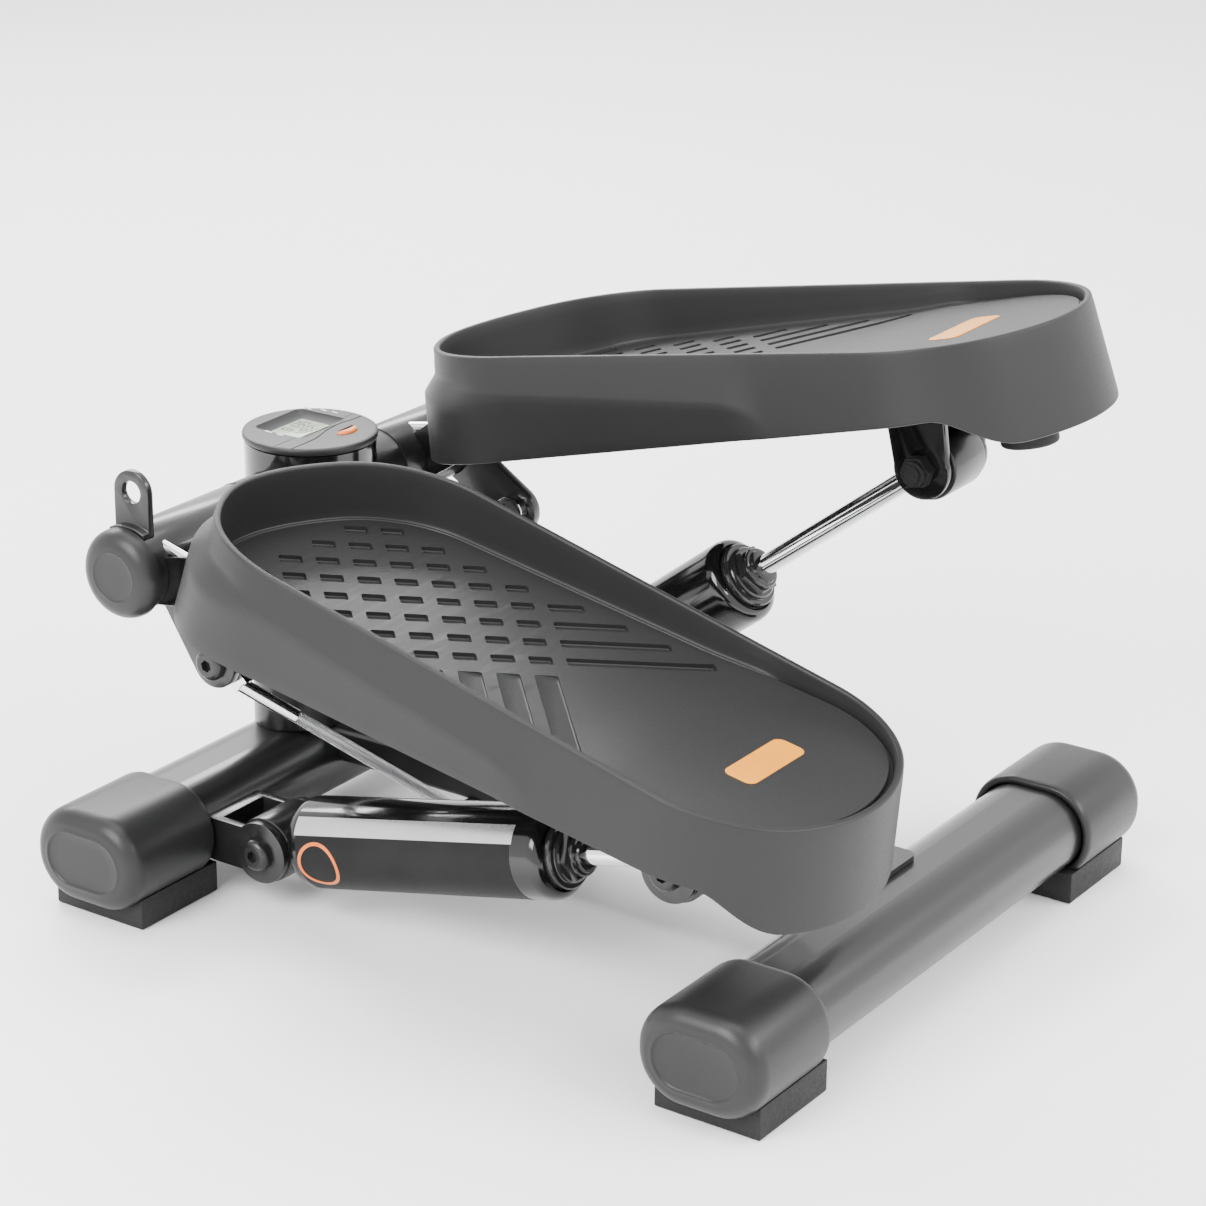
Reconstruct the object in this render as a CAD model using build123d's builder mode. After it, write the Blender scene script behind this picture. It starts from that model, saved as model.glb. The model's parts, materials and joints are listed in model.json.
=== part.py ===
from build123d import *
from math import cos, sin, radians, atan2, degrees, hypot
import os

# Twin-pedal hydraulic stepper. Millimetres; +Y points from the heels to the toes, +X to the
# user's right, +Z up. The origin is on the floor, midway between the two crossbars.

os.makedirs("parts", exist_ok=True)

SIDES = (("left", -1), ("right", 1))
SHEET = 2.5                      # folded steel sheet thickness

# Base
BAR_Y = 163.7                    # crossbar centre lines at +BAR_Y and -BAR_Y
BAR_Z = 30.5
BAR_WIDTH = 52.0
BAR_HEIGHT = 39.0
BAR_HALF_LENGTH = 160.0
BAR_WALL = 2.0
CAP_END_X = 170.5                # outer end of the crossbar caps
CAP_LENGTH = 57.0
CAP_WIDTH = 61.0
CAP_HEIGHT = 45.5
CAP_BORE_DEPTH = 46.5
FOOT_LENGTH = 51.9
FOOT_WIDTH = 51.1
BEAM_WIDTH = 34.0
BEAM_HEIGHT = 18.0
BEAM_TOP = 50.3

# Axle and its boss on the post
AXLE_Y = 166.0
AXLE_Z = 157.5
AXLE_R = 10.0
BOSS_R = 19.0
BOSS_HALF = 50.0
HUB_INNER_X = 50.6               # hub tube runs from here to HUB_OUTER_X on each side
HUB_OUTER_X = 130.5
AXLE_END_X = 120.0
POST_Y = 164.0
POST_X_SIZE = 76.0
POST_Y_SIZE = 50.0

# Pedals, in each pedal's own frame: its origin is on the axle, x to the right, y towards
# the toe along the tray, z square to the tray's rim.
PEDAL_X = 94.5
LEFT_TILT = 14.3                 # degrees heel-down at rest
RIGHT_TILT = -10.9
RIM_Z = 59.4
TRAY_MID_Y = -199.7
HALF_WIDTH = 71.0
TOE_ARC_Y = 94.0                 # where the straight sides end, ahead of and behind the middle
HEEL_ARC_Y = 99.5
WALL = 3.2
FLOOR_SLOPE = 0.0774             # the floor falls towards the toe, as seen from the rim
FLOOR_HEEL_Y = -345.0
FLOOR_HEEL_Z = 54.4
LOBE_Y = -322.0                  # the skirt's lower edge dips into a lobe behind this point
LOBE_Z = 28.0
LOBE_BOTTOM_Z = 13.0
FLARE_Z = -4.5                   # height at which the tray's flare is stated
ARM_HALF_WIDTH = 30.0
PIN_Y = -288.6                   # hydraulic cylinder's upper pin
PIN_Z = -6.5
LUG_X = 104.5
LUG_Y = -38.6                    # cable lug's bolt
LUG_Z = -36.2
BUMPER_Y = -335.0

# Hydraulic cylinder
FRONT_PIN_Y = 108.9
FRONT_PIN_Z = 28.5
TUBE_R = 21.0
TUBE_START = 18.0                # distances along the cylinder from the front pin
TUBE_END = 161.0
ROD_R = 5.0
EYE_R = 15.5
EYE_HALF = 13.5
PIN_R = 4.0

# Cable and pulley under the beam
CABLE_END = (22.0, 45.0, 23.5)   # where each strand enters the pulley guard (x is mirrored)
SLEEVE_R = 3.0


def pedal_plane(side):
    tilt = radians(LEFT_TILT if side < 0 else RIGHT_TILT)
    return Plane(origin=(side * PEDAL_X, AXLE_Y, AXLE_Z), x_dir=(1, 0, 0),
                 z_dir=(0, -sin(tilt), cos(tilt)))


def side_plane(pose):
    """Side view of a pedal: first axis along the tray, second axis up."""
    return Plane(origin=pose.origin, x_dir=pose.y_dir, z_dir=pose.x_dir)


def floor_z(y):
    return FLOOR_HEEL_Z - FLOOR_SLOPE * (y - FLOOR_HEEL_Y)


def arm_top(y):
    return floor_z(y) - WALL


def bar_solid(y, width, height):
    """Flat oval bar along X at one crossbar's place."""
    with BuildPart() as bar:
        with BuildSketch(Plane.YZ.offset(-BAR_HALF_LENGTH)):
            with Locations((y, BAR_Z)):
                SlotOverall(width, height)
        extrude(amount=2 * BAR_HALF_LENGTH)
    return bar.part


# ---------------------------------------------------------------- base

def crossbar(name, y):
    with BuildPart() as bar:
        add(bar_solid(y, BAR_WIDTH, BAR_HEIGHT))
        add(bar_solid(y, BAR_WIDTH - 2 * BAR_WALL, BAR_HEIGHT - 2 * BAR_WALL), mode=Mode.SUBTRACT)
    bar.part.label = name
    export_step(bar.part, f"parts/{name}.step")


def cap_body(side, y):
    """Outside of a crossbar cap, before its bore is cut."""
    with BuildPart() as body:
        with BuildSketch(Plane.YZ.offset(side * CAP_END_X)):
            with Locations((y, BAR_Z)):
                RectangleRounded(CAP_WIDTH, CAP_HEIGHT, 22)
        extrude(amount=-side * CAP_LENGTH)
        end_face = body.faces().sort_by(Axis.X)[-1 if side > 0 else 0]
        fillet(end_face.edges(), 9)
    return body.part


def end_cap_and_foot(side_name, side, end_name, y):
    outside = cap_body(side, y)
    mouth_x = side * (CAP_END_X - CAP_LENGTH)
    with BuildPart() as cap:
        add(outside)
        with BuildSketch(Plane.YZ.offset(mouth_x)):
            with Locations((y, BAR_Z)):
                SlotOverall(BAR_WIDTH, BAR_HEIGHT)
        extrude(amount=side * CAP_BORE_DEPTH, mode=Mode.SUBTRACT)
        with BuildSketch(Plane.YZ.offset(mouth_x)):
            with Locations((y, BAR_Z)):
                SlotOverall(BAR_WIDTH + 4, BAR_HEIGHT + 4)
        extrude(amount=side * 5, mode=Mode.SUBTRACT)
    cap.part.label = f"{end_name}_{side_name}_end_cap"
    export_step(cap.part, f"parts/{end_name}_{side_name}_end_cap.step")
    with BuildPart() as foot:
        with Locations((side * (BAR_HALF_LENGTH - FOOT_LENGTH / 2), y, 0)):
            Box(FOOT_LENGTH, FOOT_WIDTH, 15, align=(Align.CENTER, Align.CENTER, Align.MIN))
        chamfer(foot.faces().sort_by(Axis.Z)[0].edges(), 0.8)
        add(outside, mode=Mode.SUBTRACT)
        add(bar_solid(y, BAR_WIDTH, BAR_HEIGHT), mode=Mode.SUBTRACT)
    foot.part.label = f"{end_name}_{side_name}_foot"
    export_step(foot.part, f"parts/{end_name}_{side_name}_foot.step")


crossbar("front_crossbar", BAR_Y)
crossbar("rear_crossbar", -BAR_Y)
for side_name, side in SIDES:
    end_cap_and_foot(side_name, side, "front", BAR_Y)
    end_cap_and_foot(side_name, side, "rear", -BAR_Y)

# Longitudinal beam between the crossbars, with a saddle plate lapped over the rear one
with BuildPart() as center_beam:
    with BuildSketch(Plane.XZ):
        with Locations((0, BEAM_TOP - BEAM_HEIGHT / 2)):
            RectangleRounded(BEAM_WIDTH, BEAM_HEIGHT, 3)
            RectangleRounded(BEAM_WIDTH - 2 * SHEET, BEAM_HEIGHT - 2 * SHEET, 1.5, mode=Mode.SUBTRACT)
    extrude(amount=BAR_Y - 20, both=True)
    for bar_y in (BAR_Y, -BAR_Y):
        add(bar_solid(bar_y, BAR_WIDTH, BAR_HEIGHT), mode=Mode.SUBTRACT)
    with BuildSketch(Plane.XY.offset(BEAM_TOP)):
        with Locations((0, -BAR_Y + 22)):
            RectangleRounded(BEAM_WIDTH, 34, 5)
    extrude(amount=SHEET)
center_beam.part.label = "center_beam"
export_step(center_beam.part, "parts/center_beam.step")

# Oval post on the front crossbar, topped by the boss tube that holds the axle
with BuildPart() as post:
    with BuildSketch(Plane.XY.offset(BAR_Z)):
        with Locations((0, POST_Y)):
            Ellipse(POST_X_SIZE / 2, POST_Y_SIZE / 2)
    extrude(amount=AXLE_Z - BAR_Z)
    with BuildSketch(Plane.YZ.offset(-BOSS_HALF)):
        with Locations((AXLE_Y, AXLE_Z)):
            Circle(BOSS_R)
    extrude(amount=2 * BOSS_HALF)
    with BuildSketch(Plane.YZ.offset(-BOSS_HALF)):
        with Locations((AXLE_Y, AXLE_Z)):
            Circle(AXLE_R)
    extrude(amount=2 * BOSS_HALF, mode=Mode.SUBTRACT)
    add(bar_solid(BAR_Y, BAR_WIDTH, BAR_HEIGHT), mode=Mode.SUBTRACT)
    with BuildSketch(Plane.XY.offset(BAR_Z - BAR_HEIGHT)):
        with Locations((0, POST_Y - 40)):
            Rectangle(POST_X_SIZE, 80)
    extrude(amount=BAR_HEIGHT + BEAM_TOP - BAR_Z, mode=Mode.SUBTRACT)
post.part.label = "post"
export_step(post.part, "parts/post.step")

with BuildPart() as axle:
    with BuildSketch(Plane.YZ.offset(-AXLE_END_X)):
        with Locations((AXLE_Y, AXLE_Z)):
            Circle(AXLE_R)
    extrude(amount=2 * AXLE_END_X)
    chamfer(axle.edges().filter_by(GeomType.CIRCLE), 1)
axle.part.label = "axle"
export_step(axle.part, "parts/axle.step")


# Screws and washers that keep the hubs on the axle
with BuildPart() as axle_end_screws:
    for side_name, side in SIDES:
        end = Plane(origin=(side * AXLE_END_X, AXLE_Y, AXLE_Z), x_dir=(0, 1, 0), z_dir=(side, 0, 0))
        with BuildSketch(end):
            Circle(12)
        extrude(amount=1.5)
        with BuildSketch(end.offset(1.5)):
            RegularPolygon(6.5, 6)
        extrude(amount=4)
axle_end_screws.part.label = "axle_end_screws"
export_step(axle_end_screws.part, "parts/axle_end_screws.step")


def cylinder_bracket(side_name, side):
    """U-shaped bracket welded to the rear of the front crossbar, holding the cylinder's front pin."""
    inner_half = EYE_HALF + 0.6
    cheek = 4.0
    bar_rear_y = BAR_Y - BAR_WIDTH / 2
    cheek_height = 29.0
    with BuildPart() as bracket:
        for cheek_x in (-inner_half - cheek, inner_half):
            with BuildSketch(Plane.YZ.offset(side * PEDAL_X + cheek_x)):
                with Locations(((FRONT_PIN_Y + bar_rear_y) / 2 + 4, FRONT_PIN_Z)):
                    Rectangle(bar_rear_y - FRONT_PIN_Y + 8, 21)
                with Locations((FRONT_PIN_Y, FRONT_PIN_Z)):
                    Circle(cheek_height / 2)
                    Circle(PIN_R, mode=Mode.SUBTRACT)
            extrude(amount=cheek)
        with Locations((side * PEDAL_X, bar_rear_y - 1.5, FRONT_PIN_Z)):
            Box(2 * inner_half, 7, 21)
        add(bar_solid(BAR_Y, BAR_WIDTH, BAR_HEIGHT), mode=Mode.SUBTRACT)
    bracket.part.label = f"{side_name}_cylinder_bracket"
    export_step(bracket.part, f"parts/{side_name}_cylinder_bracket.step")


for side_name, side in SIDES:
    cylinder_bracket(side_name, side)


def through_bolt(plane, head_side, grip_half):
    """Button-head bolt and lock nut on a pin axis: the plane's z lies along the bolt."""
    start = plane.offset(-head_side * grip_half)
    with BuildPart() as bolt:
        with BuildSketch(start):
            Circle(PIN_R)
        extrude(amount=head_side * (2 * grip_half + 9))
        with BuildSketch(start):
            Circle(7.5)
        extrude(amount=-head_side * 5)
        outer = bolt.faces().sort_by(Axis(start.origin, start.z_dir * head_side))[0]
        fillet(outer.edges(), 3)
        with BuildSketch(start.offset(-head_side * 5)):
            RegularPolygon(2.9, 6)
        extrude(amount=head_side * 3, mode=Mode.SUBTRACT)
        with BuildSketch(start.offset(head_side * 2 * grip_half)):
            RegularPolygon(7.5, 6)
        extrude(amount=head_side * 6)
        with BuildSketch(start.offset(head_side * (2 * grip_half + 6))):
            Circle(5.8)
        extrude(amount=head_side * 2)
    return bolt


BRACKET_HALF = EYE_HALF + 0.6 + 4.0
with BuildPart() as front_cylinder_bolts:
    for side_name, side in SIDES:
        pin = Plane(origin=(side * PEDAL_X, FRONT_PIN_Y, FRONT_PIN_Z), z_dir=(1, 0, 0))
        add(through_bolt(pin, -side, BRACKET_HALF).part)
front_cylinder_bolts.part.label = "front_cylinder_bolts"
export_step(front_cylinder_bolts.part, "parts/front_cylinder_bolts.step")

# ---------------------------------------------------------------- pulley under the beam

GUARD_Y = 43.0
GUARD_LENGTH = 44.0
GUARD_HALF_X = 24.0
GUARD_BOTTOM = 10.0
BEAM_BOTTOM = BEAM_TOP - BEAM_HEIGHT

with BuildPart() as pulley_guard:
    with Locations((0, GUARD_Y, GUARD_BOTTOM)):
        Box(2 * GUARD_HALF_X, GUARD_LENGTH, BEAM_BOTTOM - GUARD_BOTTOM,
            align=(Align.CENTER, Align.CENTER, Align.MIN))
    fillet(pulley_guard.edges().filter_by(Axis.X), 2)
    with Locations((0, GUARD_Y, GUARD_BOTTOM + SHEET)):
        Box(2 * GUARD_HALF_X, GUARD_LENGTH - 2 * SHEET, BEAM_BOTTOM - GUARD_BOTTOM,
            align=(Align.CENTER, Align.CENTER, Align.MIN), mode=Mode.SUBTRACT)
pulley_guard.part.label = "pulley_guard"
export_step(pulley_guard.part, "parts/pulley_guard.step")

PULLEY_R = 12.0
PULLEY_Z = 15.0
with BuildPart() as pulley_pin:
    with BuildSketch(Plane.XY.offset(GUARD_BOTTOM + SHEET)):
        with Locations((0, GUARD_Y - 4)):
            Circle(PIN_R)
    extrude(amount=BEAM_BOTTOM - GUARD_BOTTOM - SHEET)
pulley_pin.part.label = "pulley_pin"
export_step(pulley_pin.part, "parts/pulley_pin.step")

with BuildPart() as pulley:
    with BuildSketch(Plane.XZ.offset(-(GUARD_Y - 4))):
        with BuildLine():
            Polyline((PIN_R + 0.06, PULLEY_Z), (PULLEY_R, PULLEY_Z), (PULLEY_R, PULLEY_Z + 2),
                     (PULLEY_R - 4, PULLEY_Z + 5), (PULLEY_R, PULLEY_Z + 8), (PULLEY_R, PULLEY_Z + 10),
                     (PIN_R + 0.06, PULLEY_Z + 10), close=True)
        make_face()
    revolve(axis=Axis((0, GUARD_Y - 4, 0), (0, 0, 1)))
pulley.part.label = "pulley"
export_step(pulley.part, "parts/pulley.step")

# ---------------------------------------------------------------- console

CONSOLE_R = 32.0
CONSOLE_BOTTOM = 163.0
CONSOLE_TOP = 190.0
FACE_THICKNESS = 2.4
LCD_SIZE = (24.0, 17.0)
LCD_CENTER = (3.0, AXLE_Y + 8.5)
BUTTON_CENTER = (7.0, AXLE_Y - 17.0)

with BuildPart() as console_housing:
    with BuildSketch(Plane.XY.offset(CONSOLE_BOTTOM)):
        with Locations((0, AXLE_Y)):
            Circle(CONSOLE_R)
    extrude(amount=CONSOLE_TOP - FACE_THICKNESS - CONSOLE_BOTTOM)
    with BuildSketch(Plane.XY.offset(AXLE_Z + BOSS_R + 2)):
        with Locations((0, AXLE_Y)):
            Circle(CONSOLE_R - 2.5)
    extrude(amount=CONSOLE_TOP, mode=Mode.SUBTRACT)
    with BuildSketch(Plane.YZ.offset(-CONSOLE_R)):
        with Locations((AXLE_Y, AXLE_Z)):
            Circle(BOSS_R)
    extrude(amount=2 * CONSOLE_R, mode=Mode.SUBTRACT)
console_housing.part.label = "console_housing"
export_step(console_housing.part, "parts/console_housing.step")

with BuildPart() as console_board:
    with Locations((0, AXLE_Y, AXLE_Z + BOSS_R + 2)):
        Box(44, 36, 1.6, align=(Align.CENTER, Align.CENTER, Align.MIN))
    with Locations((-12, AXLE_Y - 6, AXLE_Z + BOSS_R + 3.6)):
        Cylinder(6, 3, align=(Align.CENTER, Align.CENTER, Align.MIN))
console_board.part.label = "console_board"
export_step(console_board.part, "parts/console_board.step")

BUTTON_CLEARANCE = 0.3
with BuildPart() as console_face:
    with BuildSketch(Plane.XY.offset(CONSOLE_TOP - FACE_THICKNESS)):
        with Locations((0, AXLE_Y)):
            Circle(CONSOLE_R)
    extrude(amount=FACE_THICKNESS)
    fillet(console_face.faces().sort_by(Axis.Z)[-1].edges(), 1.2)
    with BuildSketch(Plane.XY.offset(CONSOLE_TOP - 1)):
        with Locations(LCD_CENTER):
            RectangleRounded(*LCD_SIZE, 2)
    extrude(amount=1, mode=Mode.SUBTRACT)
    with BuildSketch(Plane.XY.offset(CONSOLE_TOP - FACE_THICKNESS)):
        with Locations(Location((*BUTTON_CENTER, 0), (0, 0, 20))):
            SlotOverall(13 + 2 * BUTTON_CLEARANCE, 5 + 2 * BUTTON_CLEARANCE)
    extrude(amount=FACE_THICKNESS, mode=Mode.SUBTRACT)
console_face.part.label = "console_face"
export_step(console_face.part, "parts/console_face.step")

with BuildPart() as console_lens:
    with BuildSketch(Plane.XY.offset(CONSOLE_TOP - 1)):
        with Locations(LCD_CENTER):
            RectangleRounded(*LCD_SIZE, 2)
    extrude(amount=0.7)
console_lens.part.label = "console_lens"
export_step(console_lens.part, "parts/console_lens.step")

BUTTON_TRAVEL = 1.0
with BuildPart() as console_button:
    with BuildSketch(Plane.XY.offset(CONSOLE_TOP - FACE_THICKNESS - 1.4)):
        with Locations(Location((*BUTTON_CENTER, 0), (0, 0, 20))):
            SlotOverall(13, 5)
    extrude(amount=FACE_THICKNESS + 1.4 + 1.2)
    fillet(console_button.faces().sort_by(Axis.Z)[-1].edges(), 0.9)
console_button.part.label = "console_button"
export_step(console_button.part, "parts/console_button.step")

# ---------------------------------------------------------------- pedals

def tray_outline(plane, z, half_width, toe_y, toe_r, heel_y, heel_r):
    """Outline of tangent arcs: corner arcs of 60 degrees, then a wider crown arc at each end."""
    toe_x = half_width - toe_r
    heel_x = half_width - heel_r
    toe_crown = 2 * (toe_x + toe_r / 2)
    heel_crown = 2 * (heel_x + heel_r / 2)
    toe_crown_y = toe_y + (toe_r - toe_crown) * sin(radians(60))
    heel_crown_y = heel_y - (heel_r - heel_crown) * sin(radians(60))
    with BuildSketch(plane.offset(z)) as outline:
        with BuildLine():
            Line((half_width, heel_y), (half_width, toe_y))
            CenterArc((toe_x, toe_y), toe_r, 0, 60)
            CenterArc((0, toe_crown_y), toe_crown, 60, 60)
            CenterArc((-toe_x, toe_y), toe_r, 120, 60)
            Line((-half_width, toe_y), (-half_width, heel_y))
            CenterArc((-heel_x, heel_y), heel_r, 180, 60)
            CenterArc((0, heel_crown_y), heel_crown, 240, 60)
            CenterArc((heel_x, heel_y), heel_r, 300, 60)
        make_face()
    return outline.sketch


def tray_solid(pose, inset):
    """Loft from the rim down to the flared foot of the skirt, set in by a wall thickness."""
    with BuildPart() as body:
        add(tray_outline(pose, RIM_Z, HALF_WIDTH - inset, TRAY_MID_Y + TOE_ARC_Y, 61 - inset,
                         TRAY_MID_Y - HEEL_ARC_Y, 60 - inset))
        add(tray_outline(pose, FLARE_Z, HALF_WIDTH + 4 - inset, TRAY_MID_Y + TOE_ARC_Y + 10, 63 - inset,
                         TRAY_MID_Y - HEEL_ARC_Y - 7.5, 62 - inset))
        loft()
    return body.part


def side_profile(pose, points):
    """Prism across the pedal's full width, from points in its side view."""
    with BuildPart() as prism:
        with BuildSketch(side_plane(pose)):
            with BuildLine():
                Polyline(*points, close=True)
            make_face()
        extrude(amount=HALF_WIDTH + 20, both=True)
    return prism.part


def tray(name, pose):
    above_floor = side_profile(pose, [(-420, floor_z(-420)), (0, floor_z(0)), (0, 90), (-420, 90)])
    below_floor = side_profile(pose, [(-420, floor_z(-420) - WALL), (0, floor_z(0) - WALL),
                                      (0, -40), (-420, -40)])
    core = tray_solid(pose, WALL)
    with BuildPart() as well:
        add(core)
        add(above_floor, mode=Mode.INTERSECT)
    with BuildPart() as underside:
        add(core)
        add(below_floor, mode=Mode.INTERSECT)
    with BuildPart() as body:
        add(tray_solid(pose, 0))
        with BuildSketch(side_plane(pose)):
            with BuildLine():
                Line((-15, 90), (-15, 3))
                Line((-15, 3), (LOBE_Y, LOBE_Z))
                Spline((LOBE_Y, LOBE_Z), (LOBE_Y - 15, (LOBE_Z + LOBE_BOTTOM_Z) / 2),
                       (LOBE_Y - 30, LOBE_BOTTOM_Z), tangents=((-1, 0), (-1, 0)))
                Polyline((LOBE_Y - 30, LOBE_BOTTOM_Z), (-400, LOBE_BOTTOM_Z), (-400, 90), (-15, 90))
            make_face()
        extrude(amount=HALF_WIDTH + 20, both=True, mode=Mode.INTERSECT)
        add(well.part, mode=Mode.SUBTRACT)
        add(underside.part, mode=Mode.SUBTRACT)
        with BuildSketch(side_plane(pose)):
            with BuildLine():
                Polyline((-70, arm_top(-70)), (0, arm_top(0)), (0, -40), (-70, -40), close=True)
            make_face()
        extrude(amount=ARM_HALF_WIDTH + 1.5, both=True, mode=Mode.SUBTRACT)
    body.part.label = name
    export_step(body.part, f"parts/{name}.step")


def heel_pad(name, pose):
    """Smooth plate lying on the tray's floor under the heel, clear of the rim wall."""
    region = side_profile(pose, [(-420, floor_z(-420)), (-240, floor_z(-240)),
                                 (-240, floor_z(-240) + 1.6), (-420, floor_z(-420) + 1.6)])
    with BuildPart() as pad:
        add(tray_solid(pose, WALL + 1.4))
        add(region, mode=Mode.INTERSECT)
    pad.part.label = name
    export_step(pad.part, f"parts/{name}.step")


ARM_DROP = 27.5                  # depth of the arm's side flanges below the tray's floor
TAB_X = 122.3                    # inner face of the band tab
TAB_WIDTH = 20.0
TAB_HOLE_Z = 36.0
TAB_HOLE_R = 5.2
HUB_BORE_R = 13.5


def arm(name, pose):
    """Folded channel under the tray, with two ears for the cylinder's upper pin."""
    web_front_y = -45.0
    rear_y = BUMPER_Y - 15
    ear_inner = EYE_HALF + 0.6
    ear_reach = 16.0
    with BuildPart() as channel:
        with BuildSketch(side_plane(pose)):
            with BuildLine():
                Polyline((rear_y, arm_top(rear_y)), (web_front_y, arm_top(web_front_y)), (-14, 12.5),
                         (-14, -12), (web_front_y, arm_top(web_front_y) - ARM_DROP),
                         (PIN_Y - ear_reach, arm_top(PIN_Y - ear_reach) - ARM_DROP),
                         (rear_y, arm_top(rear_y) - 8), close=True)
            make_face()
        extrude(amount=ARM_HALF_WIDTH, both=True)
        with BuildSketch(side_plane(pose)):
            with BuildLine():
                Polyline((rear_y, arm_top(rear_y) - SHEET), (web_front_y, arm_top(web_front_y) - SHEET),
                         (web_front_y, 60), (10, 60), (10, -60), (rear_y, -60), close=True)
            make_face()
        extrude(amount=ARM_HALF_WIDTH - SHEET, both=True, mode=Mode.SUBTRACT)
        for ear_x in (-ear_inner - 4, ear_inner):
            with BuildSketch(side_plane(pose).offset(ear_x)):
                with BuildLine():
                    Polyline((PIN_Y - ear_reach, arm_top(PIN_Y - ear_reach) - SHEET / 2),
                             (PIN_Y + ear_reach, arm_top(PIN_Y + ear_reach) - SHEET / 2),
                             (PIN_Y + 13.5, PIN_Z), (PIN_Y - 13.5, PIN_Z), close=True)
                make_face()
                with Locations((PIN_Y, PIN_Z)):
                    Circle(14)
                    Circle(PIN_R, mode=Mode.SUBTRACT)
            extrude(amount=4)
        with BuildSketch(side_plane(pose).offset(-ARM_HALF_WIDTH)):
            Circle(BOSS_R)
        extrude(amount=2 * ARM_HALF_WIDTH, mode=Mode.SUBTRACT)
    channel.part.label = name
    export_step(channel.part, f"parts/{name}.step")


def axle_cap(name, pose, side):
    """Domed plastic cap plugged into the hub's outer end."""
    end = side * (HUB_OUTER_X - PEDAL_X)
    dome = 9.5
    with BuildPart() as cap:
        with BuildSketch(side_plane(pose).offset(end)):
            Circle(BOSS_R + 1.8)
        extrude(amount=side * dome)
        fillet(cap.faces().sort_by(Axis.X)[-1 if side > 0 else 0].edges(), 8)
        with BuildSketch(side_plane(pose).offset(end)):
            Circle(HUB_BORE_R)
        extrude(amount=-side * 4)
    cap.part.label = name
    export_step(cap.part, f"parts/{name}.step")


def band_tab(name, side):
    """Upright plate with a hole for a resistance band's hook, on a saddle over the hub's end."""
    across = Plane(origin=(side * TAB_X, AXLE_Y, AXLE_Z), x_dir=(0, side, 0), z_dir=(side, 0, 0))
    with BuildPart() as tab:
        with BuildSketch(across):
            with Locations((0, TAB_HOLE_Z / 2)):
                Rectangle(TAB_WIDTH, TAB_HOLE_Z)
            with Locations((0, TAB_HOLE_Z)):
                Circle(TAB_WIDTH / 2)
                Circle(TAB_HOLE_R, mode=Mode.SUBTRACT)
            Circle(BOSS_R, mode=Mode.SUBTRACT)
        extrude(amount=3.5)
        with BuildSketch(across):
            Circle(BOSS_R + SHEET)
            with Locations((0, BOSS_R)):
                Rectangle(TAB_WIDTH, 2 * BOSS_R, mode=Mode.INTERSECT)
            Circle(BOSS_R, mode=Mode.SUBTRACT)
        extrude(amount=HUB_OUTER_X - TAB_X - 0.5)
    tab.part.label = name
    export_step(tab.part, f"parts/{name}.step")


def hub(name, pose, side):
    """Tube turning on the axle, with the cable's lug plate welded below it."""
    across = side_plane(pose)
    inner = side * (HUB_INNER_X - PEDAL_X)
    length = HUB_OUTER_X - HUB_INNER_X
    lug_x = side * (LUG_X - PEDAL_X)
    lug_half = 2.5
    with BuildPart() as tube:
        with BuildSketch(across.offset(inner)):
            Circle(BOSS_R)
        extrude(amount=side * length)
        with BuildSketch(across.offset(lug_x - lug_half)):
            reach = hypot(LUG_Y, LUG_Z)
            lean = degrees(atan2(LUG_Z, LUG_Y))
            with Locations(Location((LUG_Y / 2, LUG_Z / 2, 0), (0, 0, lean))):
                Rectangle(reach, 24)
            with Locations((LUG_Y, LUG_Z)):
                Circle(12)
                Circle(PIN_R, mode=Mode.SUBTRACT)
        extrude(amount=2 * lug_half)
        with BuildSketch(across.offset(inner)):
            Circle(HUB_BORE_R)
        extrude(amount=side * length, mode=Mode.SUBTRACT)
    tube.part.label = name
    export_step(tube.part, f"parts/{name}.step")


def hub_bushes(name, pose, side):
    inner = side * (HUB_INNER_X - PEDAL_X)
    outer = side * (AXLE_END_X - 1 - PEDAL_X)
    with BuildPart() as bushes:
        for start, direction in ((inner, side), (outer, -side)):
            with BuildSketch(side_plane(pose).offset(start)):
                Circle(HUB_BORE_R)
                Circle(AXLE_R + 0.05, mode=Mode.SUBTRACT)
            extrude(amount=direction * 22)
    bushes.part.label = name
    export_step(bushes.part, f"parts/{name}.step")


def tie_rods(name, pose):
    """Two bright rods from the hub into the arm, parallel to the tray."""
    with BuildPart() as rods:
        for rod_x in (-24.6, 24.6):
            with BuildSketch(Plane(origin=pose.from_local_coords(Vector(rod_x, 0, 14.4)),
                                   x_dir=(1, 0, 0), z_dir=-pose.y_dir)):
                Circle(2.6)
            extrude(amount=58)
        with BuildSketch(side_plane(pose).offset(-ARM_HALF_WIDTH)):
            Circle(BOSS_R)
        extrude(amount=2 * ARM_HALF_WIDTH, mode=Mode.SUBTRACT)
    rods.part.label = name
    export_step(rods.part, f"parts/{name}.step")


def pin_plane(pose, x, y, z):
    return Plane(origin=pose.from_local_coords(Vector(x, y, z)), x_dir=pose.y_dir, z_dir=pose.x_dir)


def clevis_bolt(name, pose, side):
    bolt = through_bolt(pin_plane(pose, 0, PIN_Y, PIN_Z), -side, BRACKET_HALF)
    bolt.part.label = name
    export_step(bolt.part, f"parts/{name}.step")


EYE_THICKNESS = 5.0              # flat eye on the cable's end


def lug_bolt(name, pose, side):
    """Bolt through the lug and the cable's eye, which lies on the lug's inner face."""
    grip_half = (5.0 + EYE_THICKNESS + 0.6) / 2
    middle = side * (LUG_X - PEDAL_X) - side * (EYE_THICKNESS + 0.6) / 2
    bolt = through_bolt(pin_plane(pose, middle, LUG_Y, LUG_Z), -side, grip_half)
    bolt.part.label = name
    export_step(bolt.part, f"parts/{name}.step")


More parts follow.
